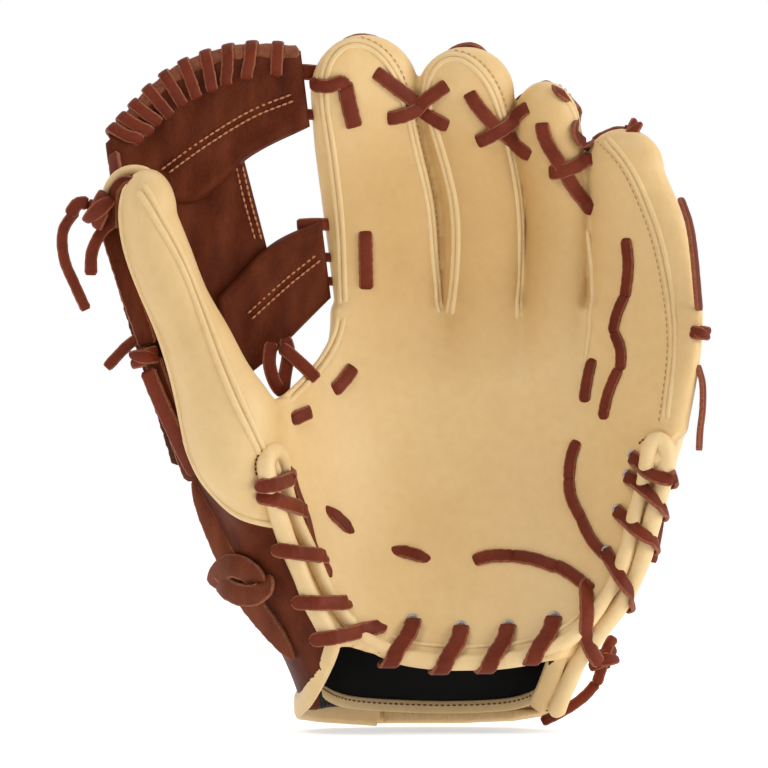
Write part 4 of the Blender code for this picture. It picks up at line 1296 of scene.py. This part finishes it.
def bar(batch, low, high, depth, roll, lean=0.0):
    """A bar of the web: doubled leather, thicker where it is rolled over at its edges.

    roll is how fat its lower and upper edges are. lean slants its two ends.
    """
    points = []
    round_bar = np.concatenate([np.linspace(0, 1, BAR_ROWS), np.linspace(1, 0, BAR_ROWS)[1:-1]])
    for i, share in enumerate(np.linspace(low[0][0], low[-1][0], BAR_COLUMNS)):
        bottom, top = value_at(share, low), value_at(share, high)
        height = top - bottom
        end = min(1.0, (min(i, BAR_COLUMNS - 1 - i) + 0.4) / 2.0)
        for k, v in enumerate(round_bar):
            near = min(v, 1 - v) * height
            fat = roll[0] if v < 0.5 else roll[1]
            bulge = BAR_THIN + (fat - BAR_THIN) * math.exp(-((near - fat * 1.3) / (fat * 1.5)) ** 2)
            half = bulge * math.sqrt(max(0.0, 1 - max(0.0, 1 - near / (bulge * 1.1)) ** 2))
            sway = BAR_SWAY * math.sin(share * 26 + v * 5) * math.sin(v * 9 + share * 7)
            out = half * end * (-1 if k < BAR_ROWS else 1)
            deep = WEB_LEATHER / 2 + depth + sway + out
            points.append(on_web(share + lean * (v - 0.5), bottom + height * v, deep))
    batch.add(points, ring_faces(BAR_COLUMNS, 2 * BAR_ROWS - 2))


def web_stitching(batch, points):
    """Two rows of cord-like stitches."""
    rows = curve([web_at(x, z, -0.0006) for x, z in points], 0.002)
    for side in (-1, 1):
        stitches(batch, beside(rows, FRONTWARDS, side * SEAMS_APART / 2), FRONTWARDS, 0.0029, 0.0023, 0.00052)


def over_web(batch, share, drop, lean):
    """A lace over the top bar's upper edge: in at the front, over the rolled edge and in behind."""
    centre = on_web(share, value_at(share, TOP_BAR_HIGH) - 0.0018, WEB_LEATHER / 2)
    slope = (value_at(min(share + 0.02, 1.0), TOP_BAR_HIGH) - value_at(share - 0.02, TOP_BAR_HIGH)) / 0.04
    run = unit([-WEB_REACH, 0, slope])
    up = np.cross(run, (0, 1, 0))
    up *= np.sign(up[2])
    near = np.array(FRONTWARDS)
    path = [centre - up * drop + near * 0.0006 + run * lean,
            centre - up * (drop - 0.002) + near * 0.0028 + run * lean,
            centre - up * drop * 0.45 + near * 0.0035 + run * lean * 0.6]
    for angle in np.radians(np.linspace(0, 180, 11)):
        path.append(centre + up * OVER_WEB_REACH * math.sin(angle) * 1.1
                    + near * OVER_WEB_REACH * math.cos(angle) + run * lean * (0.3 - 0.6 * angle / math.pi))
    path += [centre - up * 0.0056 - near * 0.0032 - run * lean * 0.6,
             centre - up * 0.008 - near * 0.0004 - run * lean * 0.6]
    path = curve(path, 0.0012)
    normals = np.cross(np.gradient(path, axis=0), run)
    normals *= np.sign(np.sum(normals * (path - (centre - up * 0.004)), axis=1))[:, None]
    batch.add(*strip(path, normals, ragged(leaf(path, 0.0054, 0.002, 0.7)), 0.0021))


# Where the lace goes over the top bar: (share, how far down in front, lean).
TOP_WRAPS = [(0.115, 0.0095, 0.0), (0.235, 0.011, 0.003), (0.345, 0.012, 0.004), (0.455, 0.0125, 0.002),
             (0.56, 0.0125, 0.0015), (0.655, 0.012, 0.001), (0.74, 0.0115, 0.0005), (0.815, 0.01, -0.002),
             (0.88, 0.01, -0.004), (0.935, 0.009, -0.005)]


def make_web():
    for name, low, high, depth, roll, lean in (
            ("top_bar", TOP_BAR_LOW, TOP_BAR_HIGH, 0.0, (0.0026, 0.0032), 0.0),
            ("lower_bar", LOWER_BAR_LOW, LOWER_BAR_HIGH, 0.0, (0.0016, 0.004), 0.0),
            ("centre_bar", CENTRE_BAR_LOW, CENTRE_BAR_HIGH, WEB_LEATHER + 0.001, (0.0012, 0.0012), 0.13)):
        batch = Batch()
        bar(batch, low, high, depth, roll, lean)
        finish(batch.build(f"web_{name}_leather", BROWN), "web", (f"web_{name}",))
    batch = Batch()
    path = np.array([on_web(s, value_at(s, TOP_BAR_HIGH) - 0.0012, WEB_LEATHER / 2 - 0.0003)
                     for s in np.linspace(0.01, 0.95, 60)])
    batch.add(*rod(path, lumpy(path, 0.0036, 0.05, 420), 14))
    finish(batch.build("web_top_roll", SUEDE), "web")
    batch = Batch()
    for share, drop, lean in TOP_WRAPS:
        over_web(batch, share, drop, lean)
    lace_piece(batch, "web_top_wraps", ("web_top_lace",), "web")
    batch = Batch()
    for points in WEB_SEAMS:
        web_stitching(batch, points)
    rows = curve([web_at(x, z, WEB_LEATHER - 0.0002) for x, z in CENTRE_SEAM], 0.002)
    for side in (-0.0014, 0.0014):
        stitches(batch, rows + (side, 0, 0), FRONTWARDS, 0.0028, 0.0022, 0.0005)
    finish(batch.build("web_stitching", THREAD), "web")
    make_web_links()


# Short laces that tie the web to the index finger: (height, width).
WEB_TIES = mm([(274.5, 7), (256, 4.8), (208, 5.6), (193.5, 4.2), (183, 4)])
CROTCH_LOOPS = mm([
    [(-76, -26, 156), (-76.8, -29, 147), (-74.5, -31, 139), (-71.2, -30, 135), (-70, -28, 142),
     (-68.5, -26, 152), (-70, -24, 158)],
    [(-71.5, -28, 154), (-66.5, -30, 150), (-61, -31, 145), (-56, -32, 140)],
])


def make_web_links():
    """The laces that join the web to the palm."""
    ties, loops = Batch(), Batch()
    for z, wide in WEB_TIES:
        x, y = web_line(z)
        path = curve([(x - 0.012, y + 0.004, z), (x - 0.0048, y + 0.0035, z + 0.0004),
                      (x + 0.001, y + 0.005, z + 0.0003), (x + 0.007, y + 0.012, z)], 0.0012)
        ties.add(*strip(path, FRONTWARDS, wide, 0.0022))
    for points in CROTCH_LOOPS:
        loops.add(*strip(curve(points, 0.0012), (0.15, -1.0, 0.0), 0.0058, 0.0021))
    for name, batch, start, end in (
            ("web_index_ties", ties, (-0.047, -0.01, 0.22), (-0.064, -0.014, 0.22)),
            ("web_crotch_loops", loops, (-0.06, -0.03, 0.136), (-0.064, -0.028, 0.158))):
        obj = batch.build(name, LACE, RAW_EDGE)
        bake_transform(obj)


# --- knots, tails and the thumb's strap ---------------------------------------------------------------------
# How much a lace narrows where it turns over a knot's edge.
PINCH = 0.42

# Each knot: its middle, axis, lace width and size, then the laces beside it as (places, width, facing).
KNOTS = {
    "thumb_tip_knot": ((mm((-150, -62, 213.5)), (1, 0, -0.55), 0.008, 0.0068), [
        (mm([(-154.5, -63, 216), (-159, -63, 216), (-162.5, -62, 211)]), 0.0058, FRONTWARDS),
        (mm([(-144, -58, 208), (-149, -59, 203.5), (-153, -60, 195), (-153.5, -60, 185)]), (0.005, 0.0055),
         FRONTWARDS),
        (mm([(-145.5, -58, 212), (-143, -50, 226), (-144.5, -40, 238)]), 0.0062, (-0.6, -1, 0))], "thumb"),
    "thumb_side_knot": ((mm((-130.5, -59, 150)), (0.25, 0, -1), 0.007, 0.0052), [
        (mm([(-132, -56, 159), (-138.5, -55, 154), (-147, -55, 145)]), 0.0048, FRONTWARDS),
        (mm([(-129, -60, 144), (-124, -62, 132), (-118.5, -61, 120), (-112, -57, 106), (-108, -54, 99)]),
         0.0074, (-0.5, -1, 0))], "thumb"),
    "pinky_tip_knot": ((mm((82.2, -8, 249.2)), (1, 0, -0.5), 0.0052, 0.0046), [], "palm"),
    "pinky_side_knot": ((mm((111, -40, 160)), (0.1, 0, 1), 0.006, 0.0034), [
        (mm([(103, -30, 219), (106.5, -34, 208), (108.5, -37, 194), (110.5, -40, 170)]), 0.0052,
         (1, -0.6, 0))], "palm"),
    "heel_knot": ((mm((70, 0, 16.5)), (-0.35, 0, 1), 0.0072, 0.0058), [
        (mm([(74.5, 0, 26), (71.5, -4, 21), (69, -3, 12), (67.2, -1, 5.8)]), 0.005, FRONTWARDS)], "palm"),
}
# Ribbons of leather at the thumb, each as (places, widths, thickness, facing).
STRAP_FACING = (-0.55, -0.83, 0.05)
WRIST_KNOT = [
    (mm([(-109.2, -38, 96), (-107.8, -40, 90.5), (-104.5, -42.8, 82.7), (-99.9, -45.2, 73.2),
         (-95.5, -48, 63.7), (-91.5, -49, 56)]), mm((3, 6.6, 8.8, 10, 10.4, 10.4)), 0.0025, STRAP_FACING),
    (mm([(-88, -50.5, 49), (-83.8, -50, 42.5), (-79.2, -48.8, 36.2), (-74.5, -47, 30), (-70, -45.2, 23.8),
         (-66, -44, 18.5)]), mm((10.8, 11.2, 10.8, 10.2, 9.2, 7, 2.6)), 0.0025, STRAP_FACING),
    (mm([(-98.5, -44, 58.5), (-93, -50, 54.5), (-87, -53, 51), (-81.5, -54.5, 47)]), mm((10, 13, 13, 10)),
     0.003, STRAP_FACING),
    (mm([(-100, -40, 50), (-99, -44, 54.8), (-93.5, -52, 59), (-87.5, -57, 58), (-82.5, -58.5, 54),
         (-80, -56.5, 49)]), mm((9, 10.4, 10.8, 10.4, 9.6, 8)), 0.0025, (-0.5, -0.86, 0.12)),
    (mm([(-97.8, -45, 52), (-94.5, -52, 49), (-88.5, -58, 46.6), (-82.5, -61.5, 46.8), (-78.2, -61.5, 50),
         (-77.8, -57, 54)]), mm((8, 9, 9.6, 9.4, 8.6, 7.4)), 0.0025, (-0.42, -0.9, -0.05)),
]
THUMB_STRIP = [
    (mm([(-145.5, -52, 205), (-142, -54, 194), (-136.8, -56, 178), (-131.8, -57, 164), (-128.8, -57.5, 155)]),
     0.009, 0.0026, (-0.35, -1, 0)),
    (mm([(-126.8, -56, 149), (-122.5, -56, 136), (-117.5, -54, 121), (-112, -50, 105), (-108.8, -46, 96.5)]),
     mm((8.5, 10, 10)), 0.0026, (-0.6, -1, 0)),
    (mm([(-133.5, -69, 226.2), (-138.8, -67, 225.8), (-142.8, -64, 221.5), (-144, -61, 214),
         (-144, -58, 206)]), mm((2.2, 5, 6.2, 6.4, 6)), 0.003, (-0.5, -1, 0.2)),
]
THUMB_GUSSET = [
    (mm([(-127, -56, 225.5), (-134, -56, 225.5), (-140, -55, 222.5), (-143, -53, 215), (-143, -51, 205)]),
     mm((6, 9, 10, 10)), 0.003, (-0.3, -1, 0)),
    (mm([(-143, -50, 216), (-140, -50, 200), (-134.5, -50, 180), (-129.5, -50, 164), (-125, -49, 150),
         (-120.5, -48, 135), (-116, -46, 120), (-111.5, -43, 104)]), mm((10, 15, 16, 16, 15)), 0.003,
     (-0.3, -1, 0)),
]
THUMB_RIM = mm([(-121.2, -60, 219), (-123.8, -60, 225), (-130, -60, 229.8), (-136.5, -59.5, 230.6),
                (-142, -58, 228.2), (-145.6, -57, 223.5), (-147.2, -55.5, 217), (-146.2, -54.5, 209)])


def band(batch, centre, axis, radii, tilt, wide, turn=(0, 360), shift=0.0):
    """A flat lace's turn round an axis, part of a knot."""
    ahead = unit(np.array(FRONTWARDS) - axis * np.dot(axis, FRONTWARDS))
    side = np.cross(axis, ahead)
    angles = np.radians(np.arange(turn[0], turn[1] + 1, 10))
    cos, sin = np.cos(angles)[:, None], np.sin(angles)[:, None]
    path = centre + radii[1] * cos * ahead + radii[0] * sin * side + axis * (tilt * sin + shift)
    batch.add(*strip(path, cos * ahead + sin * side, wide * (1 - PINCH * np.sin(angles) ** 2), 0.0024))


def overhand(batch, centre, axis, wide, size):
    """An overhand knot in a flat lace: two crossing bands round a core."""
    centre, axis = np.array(centre), unit(axis)
    batch.add(*rod([centre - axis * size * 0.8, centre, centre + axis * size * 0.8], size * 0.62, 12, 0.75))
    band(batch, centre, axis, (size, size * 0.74), size * 0.34, wide, shift=size * 0.1)
    band(batch, centre, axis, (size * 0.96, size * 0.88), -size * 0.4, wide * 0.88, (-85, 100), size * 0.05)


def ribbon(batch, spots, wide, thick=0.0021, facing=FRONTWARDS):
    """A free length of lace through 3-D places. wide is one width, or several spread evenly along it."""
    path = curve(spots, 0.0014)
    widths = np.interp(np.linspace(0, 1, len(path)), np.linspace(0, 1, np.size(wide)), np.atleast_1d(wide))
    batch.add(*strip(path, facing, ragged(widths, 0.04), thick))
    return path


# The free ends of lace, as in the CAD: places, exit from the knot, the way the flat side faces, and body.
TAILS = {
    "thumb_tip_tail": ([(-0.16, -0.062, 0.213), (-0.1655, -0.061, 0.204), (-0.165, -0.06, 0.192),
                        (-0.1605, -0.06, 0.181), (-0.1555, -0.06, 0.17)],
                       (-0.15, -0.062, 0.214), FRONTWARDS, "thumb"),
    "pinky_side_tail": ([(0.11, -0.04, 0.146), (0.112, -0.041, 0.138), (0.112, -0.041, 0.127),
                         (0.111, -0.04, 0.118), (0.1105, -0.04, 0.109)],
                        (0.1105, -0.04, 0.15), (1, -0.35, 0), "palm"),
    "heel_tail": ([(0.067, 0.0, 0.006), (0.062, -0.002, 0.0005), (0.056, -0.003, -0.004),
                   (0.049, -0.003, -0.008), (0.043, -0.002, -0.011)],
                  (0.069, 0.0, 0.012), FRONTWARDS, "palm"),
}
TAIL_WIDE = 0.0048


def make_tails():
    for name, (spots, start, facing, body) in TAILS.items():
        batch = Batch()
        path = ribbon(batch, spots, TAIL_WIDE, facing=facing)
        tail = lace_piece(batch, f"{name}_lace", (name,), body)


def make_knots():
    for name, (knot, ribbons, body) in KNOTS.items():
        batch = Batch()
        overhand(batch, *knot)
        for spots, wide, facing in ribbons:
            ribbon(batch, spots, wide, facing=facing)
        lace_piece(batch, f"{name}_lace", (name,), body)


def ribbons_of(rows):
    """Several ribbons in one batch."""
    batch = Batch()
    for spots, wide, thick, facing in rows:
        ribbon(batch, spots, wide, thick, facing)
    return batch


def make_thumb_strap():
    """The strap down the outside of the thumb's heel, and the thumb's back strip with its gusset and rim."""
    strap = ribbons_of(WRIST_KNOT).build("wrist_knot_strap", BROWN_LIGHT, RAW_EDGE)
    finish(strap, "thumb", ("wrist_knot",))
    finish(ribbons_of(THUMB_GUSSET).build("thumb_gusset", BROWN_DARK), "thumb")
    rim = Batch()
    rim.add(*rod(smooth_path(THUMB_RIM, 0.0015), 0.0022, 12))
    finish(rim.build("thumb_back_rim", CAMEL_EDGE), "thumb")
    strip = ribbons_of(THUMB_STRIP).build("thumb_back_strip_leather", BROWN, RAW_EDGE)
    finish(strip, "thumb", ("thumb_back_strip",))


# --- the wrist's opening ------------------------------------------------------------------------------------

STRAP_LOW = CAD_BOX[0][2] + 0.0004
STRAP_HIGH = 0.014
STRAP_THICK = 0.003
STRAP_SEAM_END = 0.048
STRAP_CENTRE = (-0.012, -0.004)
HEM_CENTRE = (-0.005, -0.03, 0.0)
WALL_ROWS = 18
# The strap's end on the thumb's side comes round from the front: places, then widths.
STRAP_ROUND = mm([
    (-48.5, -59.5, 30), (-50.4, -57, 22.2), (-54.7, -49, 12.5), (-60, -37, 2.2), (-64, -19, -2.4),
    (-63.8, -2, -2.8), (-58.5, 14, -1.8), (-49, 24, -0.8), (-40, 28.5, -0.3), (-28.6, 31.2, -0.4),
])
STRAP_WIDE = mm((7.8, 8.4, 8.8, 9.8, 10.6, 13.2, 17.2, 22.5, 26.5, 28.5))
# The edge of the lining along the bottom of the opening.
HEM = mm([
    (-60, -26, 5), (-57, -10, 2.6), (-50, 8, -1.2), (-40, 18, -3.6), (-20, 25, -5.2), (0, 26.8, -5.8),
    (20, 25, -5.2), (33, 18.5, -3.6), (42.5, 8, 0), (47, -8, 5.2),
])
# The facing beside the opening on the little finger's side.
FACING = mm([(52, -36, 26), (48.8, -33, 18), (46.2, -29.5, 10), (43.5, -26, 3), (40, -20, -4)])


def strap_line(first, last):
    """The outside of the glove's back just above its lower edge, smoothed."""
    starts = [Vector((x, FAR, 0.0015)) for x in np.linspace(first, last, 70)]
    hits = [SURFACE.ray_cast(start, Vector(FRONTWARDS))[0] for start in starts]
    spots = np.array([(spot[0], spot[1], 0.0) for spot in hits if spot is not None])
    return spaced(calmed(spots, 20), 0.002)


def wall(batch, line, low, high, near, far, crown):
    """A standing band along a line: near and far are how far out its two faces lie, and crown swells them."""
    run = unit(np.gradient(line, axis=0))
    out = np.stack([-run[:, 1], run[:, 0], 0 * run[:, 0]], axis=1)
    points, count = [], 2 * WALL_ROWS - 2
    for i, spot in enumerate(line):
        end = min(1.0, (min(i, len(line) - 1 - i) + 0.6) / 3.0)
        for k in range(count):
            v = k / (WALL_ROWS - 1) if k < WALL_ROWS else 2 - k / (WALL_ROWS - 1)
            edge = math.sqrt(max(0.0, 1 - abs(2 * v - 1) ** 7)) * end
            half = (far - near) / 2 * edge + crown * edge * (1 - (2 * v - 1) ** 2)
            depth = (near + far) / 2 + (half if k < WALL_ROWS else -half)
            points.append(spot + out[i] * depth + np.array([0, 0, low[i] + (high - low[i]) * v]))
    batch.add(points, ring_faces(len(line), count))
    return out


def make_strap():
    """The camel strap round the bottom of the glove, its stitching and its fleece."""
    line = strap_line(-0.031, 0.052)
    low = STRAP_LOW + np.interp(line[:, 0], [0.008, 0.03, 0.044, 0.053], [0.0, 0.0012, 0.0042, 0.007])
    batch = Batch()
    out = wall(batch, line, low, STRAP_HIGH, 0.0012, 0.0012 + STRAP_THICK, 0.0004)
    finish(batch.build("wrist_strap_band", CAMEL_EDGE), "strap", ("wrist_strap",))
    seams = Batch()
    kept = line[:, 0] < STRAP_SEAM_END
    for z in (low + 0.0026, STRAP_HIGH - 0.0026):
        path = line + out * (0.0014 + STRAP_THICK)
        path[:, 2] = z
        stitches(seams, path[kept], out[kept], 0.003, 0.0021, 0.0003)
    finish(seams.build("wrist_strap_stitching", SEAM_THREAD), "strap")
    batch = Batch()
    wall(batch, line[2:-2], low[2:-2] + 0.0008, -0.0066, -0.0024, 0.0008, 0.0008)
    fleece = finish(batch.build("strap_lining_roll", FLEECE), "strap", ("strap_fleece",))


def make_strap_end():
    """The strap's end, which comes round the heel from the front and turns with the surface."""
    path = smooth_path(STRAP_ROUND, 0.0014)
    share = np.linspace(0, 1, len(path))
    knots = np.linspace(0, 1, len(STRAP_ROUND))
    plan = unit(np.array(STRAP_ROUND)[:, :2] - STRAP_CENTRE)
    facing = np.stack([*(np.interp(share, knots, side) for side in plan.T), 0 * share], axis=1)
    facing[: len(path) // 5] += (0.0, -0.8, 0.0)
    batch = Batch()
    batch.add(*strip(path, calmed(facing, 30), np.interp(share, knots, STRAP_WIDE), 0.0034, (0.7, 0.35))[:2])
    finish(batch.build("thumb_strap_end", CAMEL_EDGE), "thumb")


def make_wrist():
    make_strap()
    make_strap_end()
    path = curve(HEM, 0.0014)
    inward = unit((HEM_CENTRE - path) * (1, 1, 0))
    path = path + inward * np.interp(np.linspace(0, 1, len(path)), [0, 0.3, 0.5, 0.7, 1.0],
                                     [0.004, 0.003, 0.001, 0.0024, 0.003])[:, None]
    batch = Batch()
    batch.add(*strip(path, inward, 0.0056, 0.0018)[:2])
    finish(batch.build("lining_hem", CAMEL_EDGE))
    seams = Batch()
    stitches(seams, path + inward * 0.0011 + (0, 0, 0.0008), inward, 0.0026, 0.002, 0.00042)
    finish(seams.build("lining_hem_stitching", DARK_THREAD))
    batch = Batch()
    batch.add(*strip(curve(FACING, 0.0014), (-0.35, -1.0, 0.0), 0.0088, 0.0024, (0.7, 0.35))[:2])
    finish(batch.build("opening_facing", CAMEL), "palm")




# The felt pads: the simulated filling's pressure and length, how far it may swell them, and their mesh.
FELT_PRESSURE = 4.0
FELT_STEPS = 20
FELT_SWELL = 0.0008
FELT_MESH = 0.003


def puff(obj):
    """The filling presses the felt's skin outwards, at most a little way."""
    mesh = obj.data
    before = np.array([v.co for v in mesh.vertices])
    cloth = obj.modifiers.new("puff", "CLOTH")
    cloth.settings.use_pressure = True
    cloth.settings.uniform_pressure_force = FELT_PRESSURE
    cloth.settings.effector_weights.gravity = 0.0
    for step in range(1, FELT_STEPS + 1):
        bpy.context.scene.frame_set(step)
    shaped = obj.evaluated_get(bpy.context.evaluated_depsgraph_get())
    after = np.array([v.co for v in shaped.data.vertices])
    obj.modifiers.clear()
    bpy.context.scene.frame_set(1)
    moved = after - before
    far = np.linalg.norm(moved, axis=1)[:, None]
    after = before + moved * np.minimum(1.0, FELT_SWELL / np.maximum(far, 1e-9))
    for vertex, spot in zip(mesh.vertices, after):
        vertex.co = spot


def make_pads():
    """The felt pads between the leather and the lining, filled out by a cloth simulation."""
    for node, body in (("palm_pad", "palm"), ("pinky_heel_pad", "palm"), ("thumb_heel_pad", "thumb")):
        source = bpy.data.objects[node]
        points = [tuple(source.matrix_world @ v.co) for v in source.data.vertices]
        obj = make_object(f"{node}_felt", points, [tuple(p.vertices) for p in source.data.polygons], FELT)
        remesh = obj.modifiers.new("even", "REMESH")
        remesh.mode = "VOXEL"
        remesh.voxel_size = FELT_MESH
        even = bpy.data.meshes.new_from_object(obj.evaluated_get(bpy.context.evaluated_depsgraph_get()))
        obj.modifiers.clear()
        obj.data = even
        even.materials.clear()
        even.materials.append(FELT)
        puff(obj)
        even.shade_smooth()
        finish(obj, body, (node,))


CAD_LOOKS = ((FELT, ("pad",)), (PLASTIC, ("stay",)), (LACE, ("lace", "knot", "tail", "loop")),
             (BROWN, ("web", "strip")))


def dress_cad():
    """Gives every CAD node the material of what it is, for any that stays in view."""
    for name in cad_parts:
        obj = bpy.data.objects.get(name)
        if obj is None:
            continue
        looks = (look for look, words in CAD_LOOKS if any(word in name for word in words))
        material = next(looks, CAMEL_EDGE)
        obj.data.materials.clear()
        obj.data.materials.append(material)


make_stage()
make_tails()
dress_cad()
make_pads()
make_body()
make_rolls()
OVER = surface_tree(*(bpy.data.objects[name] for name in (
    "thumb_roll_leather", "pinky_roll_leather", "heel_roll_leather", "roll_knobs")))
make_laces(OVER)
make_wraps(OVER)
make_welts()
make_web()
make_knots()
make_thumb_strap()
make_wrist()
